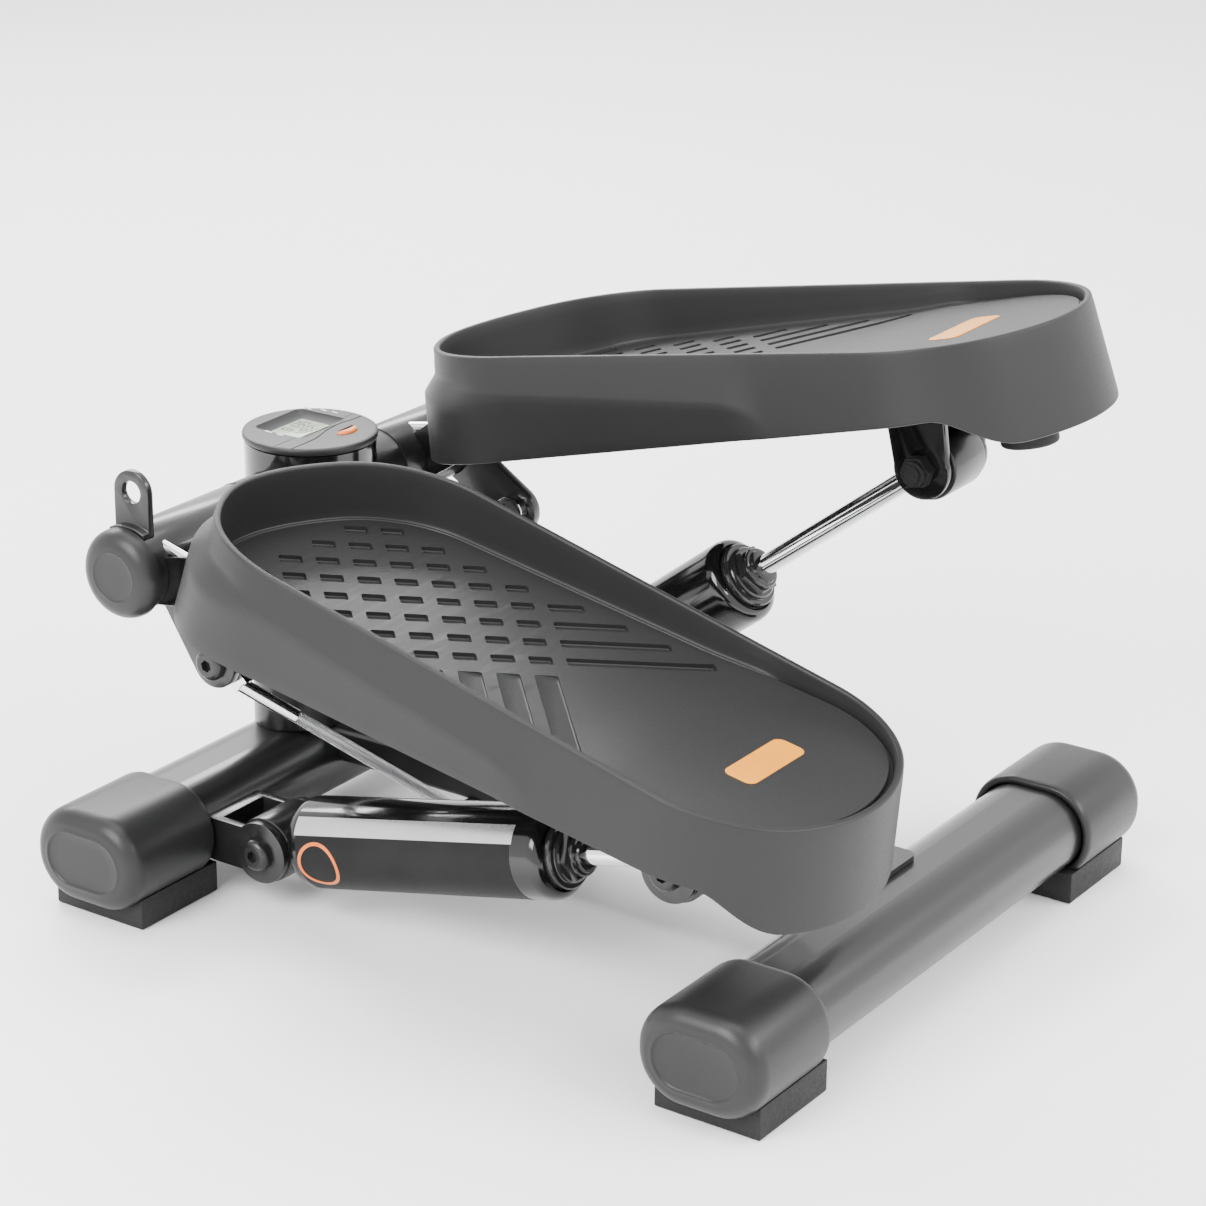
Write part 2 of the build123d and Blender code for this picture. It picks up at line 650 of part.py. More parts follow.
def bumper(name, pose):
    """Rubber stop under the heel."""
    top = floor_z(BUMPER_Y) - WALL - SHEET
    bottom = 1.0
    with BuildPart() as stop:
        with BuildSketch(pose.offset(bottom)):
            with Locations((0, BUMPER_Y)):
                Circle(13)
        extrude(amount=top - bottom - 1.3)
        fillet(stop.faces().sort_by(Axis(pose.origin, pose.z_dir))[0].edges(), 1.5)
    stop.part.label = name
    export_step(stop.part, f"parts/{name}.step")


# ---------------------------------------------------------------- hydraulic cylinders

def cylinder_axis(side):
    """Front pin, upper pin, unit direction and length of a cylinder at rest, in the side view."""
    pose = pedal_plane(side)
    upper = pose.from_local_coords(Vector(0, PIN_Y, PIN_Z))
    front = Vector(side * PEDAL_X, FRONT_PIN_Y, FRONT_PIN_Z)
    along = (upper - front).normalized()
    return front, upper, along, (upper - front).length


def cylinder(side_name, side):
    front, upper, along, length = cylinder_axis(side)
    base = Plane(origin=front, x_dir=(1, 0, 0), z_dir=along)
    eye_plane = Plane(origin=front, x_dir=(0, 1, 0), z_dir=(1, 0, 0))
    rod_clear = ROD_R + 0.06
    with BuildPart() as tube:
        with BuildSketch(base.offset(TUBE_START)):
            Circle(TUBE_R)
        extrude(amount=TUBE_END - TUBE_START)
        fillet(tube.edges().filter_by(GeomType.CIRCLE), 3)
        with BuildSketch(base.offset(TUBE_START + 5)):
            Circle(TUBE_R - 3)
        extrude(amount=TUBE_END - TUBE_START - 10, mode=Mode.SUBTRACT)
        with BuildSketch(base.offset(TUBE_END - 6)):
            Circle(9.5)
        extrude(amount=7, mode=Mode.SUBTRACT)
        with BuildSketch(base):
            Rectangle(2 * EYE_HALF - 4, 18)
        extrude(amount=TUBE_START + 1)
        with BuildSketch(eye_plane.offset(-EYE_HALF)):
            Circle(EYE_R)
        extrude(amount=2 * EYE_HALF)
        with BuildSketch(eye_plane.offset(-EYE_HALF)):
            Circle(PIN_R + 0.06)
        extrude(amount=2 * EYE_HALF, mode=Mode.SUBTRACT)
    tube.part.label = f"{side_name}_cylinder_tube"
    export_step(tube.part, f"parts/{side_name}_cylinder_tube.step")

    with BuildPart() as gland:
        with BuildSketch(base.offset(TUBE_END - 6)):
            Circle(9.5)
        extrude(amount=6)
        with BuildSketch(base.offset(TUBE_END)):
            Circle(16)
        extrude(amount=5)
        with BuildSketch(base.offset(TUBE_END + 5)):
            RegularPolygon(13, 6)
        extrude(amount=3.5)
        with BuildSketch(base.offset(TUBE_END + 8.5)):
            Circle(9.5)
        extrude(amount=4.5)
        with BuildSketch(base.offset(TUBE_END - 6)):
            Circle(rod_clear)
        extrude(amount=20, mode=Mode.SUBTRACT)
    gland.part.label = f"{side_name}_cylinder_gland"
    export_step(gland.part, f"parts/{side_name}_cylinder_gland.step")

    rod_foot = 150.0                 # distance from the upper pin to the piston's face
    open_pivot_r = PIN_R + 4.2       # loose hole at the linkage's open pivot
    upper_plane = Plane(origin=upper, x_dir=(0, 1, 0), z_dir=(1, 0, 0))
    with BuildPart() as rod:
        with BuildSketch(base.offset(length - rod_foot)):
            Circle(ROD_R)
        extrude(amount=rod_foot - EYE_R + 2)
        with BuildSketch(base.offset(length - rod_foot - 8)):
            Circle(TUBE_R - 3.1)
        extrude(amount=8)
        with BuildSketch(upper_plane.offset(-EYE_HALF)):
            Circle(EYE_R)
        extrude(amount=2 * EYE_HALF)
        with BuildSketch(upper_plane.offset(-EYE_HALF)):
            Circle(open_pivot_r)
        extrude(amount=2 * EYE_HALF, mode=Mode.SUBTRACT)
    rod.part.label = f"{side_name}_piston_rod"
    export_step(rod.part, f"parts/{side_name}_piston_rod.step")


# ---------------------------------------------------------------- cable strands

STRAP = 16.0                     # from the lug's bolt to the start of the ferrule


def cable_run(side):
    """Start point, direction and length of a strand, from its strap's end to the pulley guard."""
    pose = pedal_plane(side)
    lug = pose.from_local_coords(Vector(0, LUG_Y, LUG_Z))
    end = Vector(side * CABLE_END[0], CABLE_END[1], CABLE_END[2])
    eye_x = side * (LUG_X - 2.5 - 0.3 - EYE_THICKNESS / 2)
    eye = Vector(eye_x, lug.Y, lug.Z)
    strap = Vector(0, end.Y - lug.Y, end.Z - lug.Z).normalized()
    start = eye + strap * STRAP
    return eye, strap, start, (end - start).normalized(), (end - start).length


def cable(side_name, side):
    eye, strap, start, along, length = cable_run(side)
    flat = Plane(origin=eye - Vector(EYE_THICKNESS / 2, 0, 0), x_dir=strap, z_dir=(1, 0, 0))
    run = Plane(origin=start, x_dir=(1, 0, 0), z_dir=along)
    ferrule_length = 30.0
    with BuildPart() as ferrule:
        with BuildSketch(flat):
            Circle(8)
            with Locations((STRAP / 2, 0)):
                Rectangle(STRAP, 9)
            Circle(PIN_R + 0.06, mode=Mode.SUBTRACT)
        extrude(amount=EYE_THICKNESS)
        with BuildSketch(run.offset(-2)):
            Circle(3.4)
        extrude(amount=ferrule_length)
    ferrule.part.label = f"{side_name}_cable_ferrule"
    export_step(ferrule.part, f"parts/{side_name}_cable_ferrule.step")
    with BuildPart() as strand:
        with BuildSketch(run.offset(ferrule_length - 2)):
            Circle(SLEEVE_R)
        extrude(amount=length - ferrule_length + 2)
    strand.part.label = f"{side_name}_cable"
    export_step(strand.part, f"parts/{side_name}_cable.step")


for side_name, side in SIDES:
    pose = pedal_plane(side)
    tray(f"{side_name}_tray", pose)
    heel_pad(f"{side_name}_heel_pad", pose)
    arm(f"{side_name}_arm", pose)
    hub(f"{side_name}_hub", pose, side)
    hub_bushes(f"{side_name}_hub_bushes", pose, side)
    tie_rods(f"{side_name}_tie_rods", pose)
    axle_cap(f"{side_name}_axle_cap", pose, side)
    band_tab(f"{side_name}_band_tab", side)
    clevis_bolt(f"{side_name}_clevis_bolt", pose, side)
    lug_bolt(f"{side_name}_lug_bolt", pose, side)
    bumper(f"{side_name}_bumper", pose)
    cylinder(side_name, side)
    cable(side_name, side)
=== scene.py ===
"""Twin-pedal stepper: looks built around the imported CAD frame. Sizes are millimetres until MM."""
import json
from math import atan2, cos, hypot, pi, radians, sin, sqrt

import bmesh
import bpy
from mathutils import Matrix, Vector


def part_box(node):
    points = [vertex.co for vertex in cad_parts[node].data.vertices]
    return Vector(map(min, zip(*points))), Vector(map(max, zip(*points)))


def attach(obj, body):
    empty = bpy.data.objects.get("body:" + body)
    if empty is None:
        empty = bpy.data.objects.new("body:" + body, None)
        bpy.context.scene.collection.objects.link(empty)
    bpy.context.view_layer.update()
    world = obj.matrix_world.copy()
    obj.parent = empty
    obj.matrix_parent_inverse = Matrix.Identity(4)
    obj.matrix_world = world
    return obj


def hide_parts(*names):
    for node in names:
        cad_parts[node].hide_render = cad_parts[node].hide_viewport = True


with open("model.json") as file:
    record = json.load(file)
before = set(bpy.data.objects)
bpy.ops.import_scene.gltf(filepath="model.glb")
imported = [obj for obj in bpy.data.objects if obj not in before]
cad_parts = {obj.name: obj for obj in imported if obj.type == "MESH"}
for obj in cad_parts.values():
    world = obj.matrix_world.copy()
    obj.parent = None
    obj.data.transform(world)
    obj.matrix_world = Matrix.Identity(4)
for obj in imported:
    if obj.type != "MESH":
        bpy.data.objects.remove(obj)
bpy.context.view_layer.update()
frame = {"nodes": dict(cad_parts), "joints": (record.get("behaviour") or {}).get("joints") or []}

MM = 0.001
SIDES = (("left", -1), ("right", 1))
JOINTS = {joint["name"]: joint for joint in frame["joints"]}


# ------------------------------------------------------------------ frame helpers

def node_center(node):
    low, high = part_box(node)
    return (Vector(low) + Vector(high)) / 2 / MM


def low_corner(node):
    return Vector(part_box(node)[0]) / MM


def high_corner(node):
    return Vector(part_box(node)[1]) / MM


PIN_LOCAL = (-288.6, -6.5)        # cylinder's upper pin in the pedal's side view, from the axle


def pedal_matrix(side_name):
    """Pedal's own frame in the row frame: origin on the axle, y towards the toe, z off the tray."""
    axle = Vector(JOINTS[f"{side_name}_pedal_hinge"]["pos_m"]) / MM
    pin = node_center(f"{side_name}_clevis_bolt") - axle
    tilt = atan2(pin.z, pin.y) - atan2(PIN_LOCAL[1], PIN_LOCAL[0])
    return Matrix.Translation(axle) @ Matrix.Rotation(tilt, 4, "X")


def smooth_step(value, start, end):
    t = min(max((value - start) / (end - start), 0.0), 1.0)
    return t * t * (3 - 2 * t)


def mix(a, b, t):
    return a + (b - a) * t


# ------------------------------------------------------------------ materials

def new_material(name):
    material = bpy.data.materials.new(name)
    material.use_nodes = True
    tree = material.node_tree
    return material, tree, tree.nodes["Principled BSDF"]


def add_noise(tree, scale, detail=4.0, stretch=(1, 1, 1)):
    coords = tree.nodes.new("ShaderNodeTexCoord")
    mapping = tree.nodes.new("ShaderNodeMapping")
    mapping.inputs["Scale"].default_value = stretch
    noise = tree.nodes.new("ShaderNodeTexNoise")
    noise.inputs["Scale"].default_value = scale
    noise.inputs["Detail"].default_value = detail
    tree.links.new(coords.outputs["Object"], mapping.inputs["Vector"])
    tree.links.new(mapping.outputs["Vector"], noise.inputs["Vector"])
    return noise


def ramp(tree, source, dark, light, low=0.3, high=0.7):
    node = tree.nodes.new("ShaderNodeValToRGB")
    node.color_ramp.elements[0].position = low
    node.color_ramp.elements[0].color = (*dark, 1)
    node.color_ramp.elements[1].position = high
    node.color_ramp.elements[1].color = (*light, 1)
    tree.links.new(source, node.inputs["Fac"])
    return node


def spread_value(tree, source, low, high):
    node = tree.nodes.new("ShaderNodeMapRange")
    node.inputs["From Min"].default_value = 0.25
    node.inputs["From Max"].default_value = 0.75
    node.inputs["To Min"].default_value = low
    node.inputs["To Max"].default_value = high
    tree.links.new(source, node.inputs["Value"])
    return node


def surface(name, color, roughness, metallic=0.0, vary=0.12, cloud=14.0, grain=900.0, bump=0.06,
            depth=0.0002, coat=0.0, stretch=(1, 1, 1), rough_vary=0.15, specular=0.5):
    """Noise-driven surface: clouded colour, uneven roughness and a fine grain in the bump."""
    material, tree, shader = new_material(name)
    clouds = add_noise(tree, cloud, 5.0, stretch)
    dark = tuple(c * (1 - vary) for c in color)
    light = tuple(min(c * (1 + vary), 1.0) for c in color)
    colour = ramp(tree, clouds.outputs["Fac"], dark, light)
    tree.links.new(colour.outputs["Color"], shader.inputs["Base Color"])
    fine = add_noise(tree, grain, 3.0, stretch)
    rough = spread_value(tree, fine.outputs["Fac"], roughness * (1 - rough_vary),
                         min(roughness * (1 + rough_vary), 1.0))
    tree.links.new(rough.outputs["Result"], shader.inputs["Roughness"])
    relief = tree.nodes.new("ShaderNodeBump")
    relief.inputs["Strength"].default_value = bump
    relief.inputs["Distance"].default_value = depth
    tree.links.new(fine.outputs["Fac"], relief.inputs["Height"])
    tree.links.new(relief.outputs["Normal"], shader.inputs["Normal"])
    shader.inputs["Metallic"].default_value = metallic
    shader.inputs["Coat Weight"].default_value = coat
    shader.inputs["Coat Roughness"].default_value = 0.08
    shader.inputs["Specular IOR Level"].default_value = specular
    return material


def sleeve_material():
    material, tree, shader = new_material("clear_sleeve")
    noise = add_noise(tree, 60.0, 3.0)
    rough = spread_value(tree, noise.outputs["Fac"], 0.08, 0.2)
    tree.links.new(rough.outputs["Result"], shader.inputs["Roughness"])
    colour = ramp(tree, noise.outputs["Fac"], (0.82, 0.83, 0.84), (0.95, 0.95, 0.95))
    tree.links.new(colour.outputs["Color"], shader.inputs["Base Color"])
    shader.inputs["Transmission Weight"].default_value = 0.85
    shader.inputs["IOR"].default_value = 1.25
    shader.inputs["Alpha"].default_value = 0.45
    return material


MAT = {
    "tray": surface("tray_plastic", (0.0135, 0.0135, 0.0138), 0.47, cloud=9, grain=1500, bump=0.10,
                    specular=0.24),
    "cap": surface("cap_plastic", (0.0125, 0.0125, 0.013), 0.38, cloud=20, grain=1300, bump=0.10,
                   specular=0.30),
    "paint": surface("black_paint", (0.0075, 0.0075, 0.0078), 0.30, grain=1400, bump=0.012,
                     rough_vary=0.06, coat=0.2, specular=0.4),
    "gloss": surface("gloss_black", (0.004, 0.004, 0.0042), 0.13, vary=0.25, grain=260, bump=0.02,
                     coat=0.25, specular=0.4),
    "rubber": surface("black_rubber", (0.009, 0.009, 0.009), 0.65, grain=800, bump=0.25, specular=0.3),
    "bolt": surface("blackened_steel", (0.014, 0.014, 0.0145), 0.30, metallic=0.3, grain=900, bump=0.03),
    "zinc": surface("zinc_plate", (0.55, 0.55, 0.56), 0.32, metallic=1.0, grain=500),
    "steel": surface("ground_steel", (0.60, 0.60, 0.60), 0.25, metallic=1.0, grain=600,
                     stretch=(0.05, 1, 1)),
    "chrome": surface("hard_chrome", (0.80, 0.80, 0.81), 0.09, metallic=1.0, vary=0.04, grain=300,
                      bump=0.015),
    "gland": surface("gland_steel", (0.012, 0.012, 0.012), 0.14, vary=0.2, grain=900, bump=0.02),
    "wire": surface("wire_rope", (0.34, 0.34, 0.35), 0.30, metallic=1.0, vary=0.2, grain=900),
    "nylon": surface("natural_nylon", (0.66, 0.65, 0.60), 0.48, grain=700),
    "board": surface("circuit_board", (0.02, 0.13, 0.06), 0.42, vary=0.3, cloud=160),
    "disc": surface("console_disc", (0.014, 0.014, 0.0145), 0.42, cloud=40, grain=1600, bump=0.08,
                    specular=0.3),
    "lcd": surface("display_cell", (0.25, 0.30, 0.21), 0.32, vary=0.05, cloud=120, grain=2400,
                   bump=0.02),
    "segment": surface("display_ink", (0.035, 0.045, 0.035), 0.40, vary=0.2, cloud=300),
    "mark": surface("white_print", (0.5, 0.5, 0.5), 0.50, vary=0.05, cloud=400),
    "orange": surface("orange_gloss", (0.60, 0.12, 0.0), 0.34, vary=0.06, cloud=60, coat=0.3),
    "badge": surface("orange_badge", (0.62, 0.22, 0.0), 0.42, vary=0.05, cloud=40, grain=1600),
    "silver": surface("silver_foil", (0.50, 0.50, 0.51), 0.30, metallic=0.85, vary=0.06,
                      cloud=30, grain=1200),
    "label": surface("dark_label", (0.008, 0.008, 0.0085), 0.50, vary=0.2, cloud=50, grain=1400,
                     specular=0.15),
    "sleeve": sleeve_material(),
}


# ------------------------------------------------------------------ mesh helpers

def linked(name, data):
    holder = bpy.data.objects.new(name, data)
    bpy.context.scene.collection.objects.link(holder)
    return holder


def finish_piece(name, mesh, body, material, nodes=(), angle=38):
    piece = linked(name, mesh)
    piece.data.materials.clear()
    piece.data.materials.append(MAT[material])
    mesh.polygons.foreach_set("use_smooth", [True] * len(mesh.polygons))
    mesh.set_sharp_from_angle(angle=radians(angle))
    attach(piece, body)
    if nodes:
        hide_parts(*nodes)


def plain_mesh(bm, name):
    mesh = bpy.data.meshes.new(name)
    bm.to_mesh(mesh)
    bm.free()
    return mesh


def mesh_from(bm, name, matrix=None):
    """Turns a bmesh in millimetres into a mesh in metres, moved by a matrix in millimetres."""
    if matrix is not None:
        bm.transform(matrix)
    bm.transform(Matrix.Scale(MM, 4))
    bmesh.ops.recalc_face_normals(bm, faces=bm.faces)
    return plain_mesh(bm, name)


def piece_from(bm, name, body, material, nodes=(), angle=38):
    """Finishes a bmesh in millimetres as a piece."""
    finish_piece(name, mesh_from(bm, name), body, material, nodes, angle)


def add_rings(bm, rings, cap_start=False, cap_end=False):
    """Skins a list of closed point rings that all have the same count."""
    rows = [[bm.verts.new(p) for p in ring] for ring in rings]
    count = len(rows[0])
    for a, b in zip(rows, rows[1:]):
        for i in range(count):
            j = (i + 1) % count
            bm.faces.new((a[i], a[j], b[j], b[i]))
    if cap_start:
        bm.faces.new(rows[0])
    if cap_end:
        bm.faces.new(rows[-1][::-1])
    return rows


def add_solid(bm, rings):
    """Skins a list of point rings and closes both ends."""
    add_rings(bm, rings, cap_start=True, cap_end=True)


def lathe(bm, profile, axis_matrix, steps=64):
    """Turns (radius, height) pairs about the matrix's z; a radius of 0 closes the end."""
    rings = []
    for radius, height in profile:
        rings.append([axis_matrix @ Vector((max(radius, 0.02) * cos(2 * pi * k / steps),
                                            max(radius, 0.02) * sin(2 * pi * k / steps), height))
                      for k in range(steps)])
    add_rings(bm, rings, cap_start=profile[0][0] == 0, cap_end=profile[-1][0] == 0)


def along(origin, direction, x_hint=(1, 0, 0)):
    """Matrix with its z along direction and its x near the hint."""
    z = Vector(direction).normalized()
    x = Vector(x_hint)
    x = (x - z * x.dot(z)).normalized()
    y = z.cross(x)
    return Matrix.Translation(Vector(origin)) @ Matrix((x, y, z)).transposed().to_4x4()


def round_rect(width, height, radius, per_corner=10):
    points = []
    for corner in range(4):
        start = corner * pi / 2
        sx = 1 if corner in (0, 3) else -1
        sy = 1 if corner in (0, 1) else -1
        for k in range(per_corner + 1):
            a = start + (pi / 2) * k / per_corner
            points.append((sx * (width / 2 - radius) + radius * cos(a),
                           sy * (height / 2 - radius) + radius * sin(a)))
    return points


def applied(holder):
    """The object's mesh with its modifiers applied; the object is removed."""
    depsgraph = bpy.context.evaluated_depsgraph_get()
    mesh = bpy.data.meshes.new_from_object(holder.evaluated_get(depsgraph))
    bpy.data.objects.remove(holder)
    return mesh


def cut_mesh(mesh, cutter_mesh):
    """Subtracts a closed mesh from another with an exact boolean."""
    holder, cutter = linked("holder", mesh), linked("cutter", cutter_mesh)
    modifier = holder.modifiers.new("cut", "BOOLEAN")
    modifier.operation = "DIFFERENCE"
    modifier.solver = "EXACT"
    modifier.object = cutter
    result = applied(holder)
    bpy.data.objects.remove(cutter)
    return result


def eased_copy(node, body, material, width):
    """A copy of a CAD node with eased edges, standing for it."""
    bm = bmesh.new()
    bm.from_mesh(frame["nodes"][node].data)
    bmesh.ops.remove_doubles(bm, verts=bm.verts, dist=0.00001)
    bmesh.ops.dissolve_limit(bm, angle_limit=radians(1.0), verts=bm.verts, edges=bm.edges)
    holder = linked("holder", plain_mesh(bm, node + "_eased"))
    bevel = holder.modifiers.new("ease", "BEVEL")
    bevel.width = width * MM
    bevel.segments = 2
    bevel.limit_method = "ANGLE"
    bevel.angle_limit = radians(40)
    finish_piece(node + "_body", applied(holder), body, material, (node,))


# ------------------------------------------------------------------ trays

RIM_Z = 59.4
TRAY_MID_Y = -199.7
HALF_WIDTH = 71.0
TOE_START = TRAY_MID_Y + 94.0
HEEL_START = TRAY_MID_Y - 99.5
TOE_R = 61.0
HEEL_R = 60.0
FLARE_Z = -4.5
WALL = 3.2
FLOOR_SLOPE = 0.0774
LOBE_START = -322.0
LOBE_DEEP = 13.0
TOE_EXTRA = 7.0                   # how much fuller the toe is on one side
SKIRT_EDGE = 1.1                  # height of the rounding on the skirt's lower edge
ARM_GAP = 31.5                    # half width of the opening in the toe's skirt, where the arm enters
ARM_GAP_START = -70
ARM_GAP_LOW = -40
ARM_GAP_DROP = 4.0                # how far under the floor the opening begins
SIDE_POINTS = 46
ARC_POINTS = 18
TOE_TIP = SIDE_POINTS + ARC_POINTS + ARC_POINTS // 2    # the outline's point at the tip of the toe
# Over the rim: inset from the outline, and depth below the rim's top
RIM_PROFILE = ((0.0, 1.0), (0.12, 0.5), (0.5, 0.12), (1.0, 0.0), (2.1, 0.0), (2.6, 0.12),
               (2.95, 0.5), (3.1, 1.1))
# Down into the well: height over the floor at the front and round the heel, then both insets
WELL_PROFILE = ((5.0, 1.5, 3.9, 3.4), (1.4, 0.0, 4.1, 3.4), (0.6, -1.2, 4.3, 3.45),
                (0.2, -2.2, 4.7, 3.5), (0.05, -2.4, 5.4, 3.9), (-0.6, -2.4, 5.9, 8.4),
                (-2.9, -2.9, 6.1, 8.6))


def floor_z(y):
    level = 54.4 - FLOOR_SLOPE * (y + 345.0)
    return level + 1.6 * smooth_step(-y, 235, 275)


def skirt_z(y):
    """Height of the skirt's lower edge: straight from the toe, then a lobe under the heel."""
    straight = 3.0 + (-15.0 - max(y, LOBE_START)) * 25.0 / 307.0
    return mix(straight, LOBE_DEEP, smooth_step(-y, -LOBE_START, -LOBE_START + 30))


def toe_fullness(x, y):
    """The toe is fuller on the -X side of both trays: how much further out it stands there."""
    return TOE_EXTRA * smooth_step(y, -118, -62) * smooth_step(-x, -34, 30)


def arc_points(center_x, center_y, radius, start):
    """A sixth of a circle, without its last point."""
    turns = [radians(start + 60 * k / ARC_POINTS) for k in range(ARC_POINTS)]
    return [(center_x + radius * cos(a), center_y + radius * sin(a)) for a in turns]


def tray_outline(grow, half_width=HALF_WIDTH, toe_y=TOE_START, toe_r=TOE_R,
                 heel_y=HEEL_START, heel_r=HEEL_R):
    """Closed outline of tangent arcs, grown outward; every outline has the same point count."""
    half_width, toe_r, heel_r = half_width + grow, toe_r + grow, heel_r + grow
    toe_x, heel_x = half_width - toe_r, half_width - heel_r
    toe_crown, heel_crown = 2 * toe_x + toe_r, 2 * heel_x + heel_r
    toe_crown_y = toe_y + (toe_r - toe_crown) * sin(radians(60))
    heel_crown_y = heel_y - (heel_r - heel_crown) * sin(radians(60))
    points = [(half_width, mix(heel_y, toe_y, k / SIDE_POINTS)) for k in range(SIDE_POINTS)]
    points += arc_points(toe_x, toe_y, toe_r, 0)
    points += arc_points(0, toe_crown_y, toe_crown, 60)
    points += arc_points(-toe_x, toe_y, toe_r, 120)
    points += [(-half_width, mix(toe_y, heel_y, k / SIDE_POINTS)) for k in range(SIDE_POINTS)]
    points += arc_points(-heel_x, heel_y, heel_r, 180)
    points += arc_points(0, heel_crown_y, heel_crown, 240)
    points += arc_points(heel_x, heel_y, heel_r, 300)
    return [(x - 0.25 * toe_fullness(x, y), y + toe_fullness(x, y)) for x, y in points]


RIM = tray_outline(0)
FOOT = tray_outline(0, HALF_WIDTH + 4, TOE_START + 10, TOE_R + 2, HEEL_START - 7.5, HEEL_R + 2)


def crease_z(y):
    """The crease runs back from the toe, then curves down to the skirt's edge at mid-length."""
    level = 44.0 + 0.042 * (y + 73)
    drop = min(max((-222.0 - y) / 24.0, 0.0), 1.0)
    return mix(level, skirt_z(y), 1 - sqrt(1 - drop * drop))


def wall_reach(y, z):
    """How far the outer wall has gone from the rim's outline (0) to the foot's outline (1)."""
    plain = (RIM_Z - z) / (RIM_Z - FLARE_Z)
    toe = smooth_step(y, -118, -72)
    front = smooth_step(y, -246, -226)
    crease = crease_z(y)
    upper = min((RIM_Z - z) / (RIM_Z - crease + 0.01), 1.0)
    if z >= crease:
        side = mix(0.0, 1.02, upper)
    else:
        side = mix(1.02, 0.35, (crease - z) / (crease - skirt_z(y) + 0.01))
    shoulder = (0.10 * smooth_step(-z, -RIM_Z, -47) + 0.62 * smooth_step(-z, -48, -36)
                + 0.14 * smooth_step(-z, -36, 0))
    return mix(mix(plain, side, front), shoulder, toe)


def wall_ring(inset, height):
    """Ring on the wall: height(y) gives z, inset moves it inward from the outer surface."""
    ring = []
    for (rx, ry), (fx, fy), (ix, iy) in zip(RIM, FOOT, tray_outline(-inset)):
        z = height(ry)
        reach = wall_reach(ry, z)
        ring.append((ix + (fx - rx) * reach, iy + (fy - ry) * reach, z))
    return ring


def heel_gap(y):
    """1 where the floor stands clear of the wall round the heel, 0 where it is faired in."""
    return smooth_step(-y, 262, 284)


def well_ring(drop_to_floor, inset_front, inset_heel):
    """Ring inside the well, measured up from the floor."""
    front, heel = tray_outline(-inset_front), tray_outline(-inset_heel)
    ring = []
    for (fx, fy), (hx, hy) in zip(front, heel):
        gap = heel_gap(fy)
        y = mix(fy, hy, gap)
        ring.append((mix(fx, hx, gap), y, floor_z(y) + drop_to_floor(gap)))
    return ring


def under_crease(y, t):
    """Height at share t between the skirt's edge and the crease."""
    edge = skirt_z(y) + SKIRT_EDGE
    if crease_z(y) > skirt_z(y) + 2:
        return mix(edge, crease_z(y) - 0.5, t)
    return edge + 0.2 * t


def over_crease(y, t):
    """Height at share t between the crease and the rim."""
    return mix(max(crease_z(y), skirt_z(y) + 1.4), RIM_Z - 1.0, t)


def wall_rings():
    """Rings from the wall's inside, round the skirt's edge and up the outside to the rim."""
    rings = [wall_ring(WALL, lambda y: floor_z(y) - WALL),
             wall_ring(WALL, lambda y: skirt_z(y) + 0.6),
             wall_ring(WALL - 0.7, skirt_z),
             wall_ring(0.8, skirt_z),
             wall_ring(0.15, lambda y: skirt_z(y) + 0.35),
             wall_ring(0.0, lambda y: skirt_z(y) + SKIRT_EDGE)]
    rings += [wall_ring(0.0, lambda y, t=k / 6: under_crease(y, t)) for k in range(1, 6)]
    rings += [wall_ring(0.0, lambda y, t=k / 13: over_crease(y, t)) for k in range(13)]
    return rings


def well_rings():
    """Rings over the rim and down the inside to the floor."""
    rings = [[(x, y, RIM_Z - z) for x, y in tray_outline(-inset)] for inset, z in RIM_PROFILE]
    start = rings[-1]
    high_front, high_heel, front, heel = WELL_PROFILE[0]
    base = well_ring(lambda gap: mix(high_front, high_heel, gap), front, heel)
    for t in (0.25, 0.5, 0.75):
        rings.append([tuple(mix(a, b, t) for a, b in zip(p, q)) for p, q in zip(start, base)])
    for up_front, up_heel, front, heel in WELL_PROFILE:
        rings.append(well_ring(lambda gap, a=up_front, b=up_heel: mix(a, b, gap), front, heel))
    return rings


def tray_shell(side_name):
    """Walls, rolled rim, skirt and underside of a tray, as one closed skin."""
    rings = wall_rings() + well_rings()
    bm = bmesh.new()
    add_rings(bm, rings + [rings[0]])
    bmesh.ops.remove_doubles(bm, verts=bm.verts, dist=0.002)
    mesh = mesh_from(bm, f"{side_name}_tray_shell", pedal_matrix(side_name))
    bm = bmesh.new()
    corners = ((ARM_GAP_START, floor_z(ARM_GAP_START) - ARM_GAP_DROP), (0, floor_z(0) - ARM_GAP_DROP),
               (0, ARM_GAP_LOW), (ARM_GAP_START, ARM_GAP_LOW))
    rings = [[(x, y, z) for y, z in corners] for x in (-ARM_GAP, ARM_GAP)]
    add_solid(bm, rings)
    mesh = cut_mesh(mesh, mesh_from(bm, "arm_gap", pedal_matrix(side_name)))
    finish_piece(f"{side_name}_tray_shell", mesh, f"{side_name}_pedal", "tray",
                 (f"{side_name}_tray",), angle=32)


LATTICE = 11.6                    # half the spacing of the recesses along each axis
LATTICE_Y = -126.2
RECESS = (10.4, 6.8, 2.3)         # length, width, depth
DIAGONAL = radians(-44)
FIELD_END = -200                  # the recesses stop here
FIELD_MARGIN = 15.5
GROOVE_REACH = 58.0               # the grooves stop this far from the tray's middle
GROOVE_SHORTEST = 12
SHALLOW = 1.1


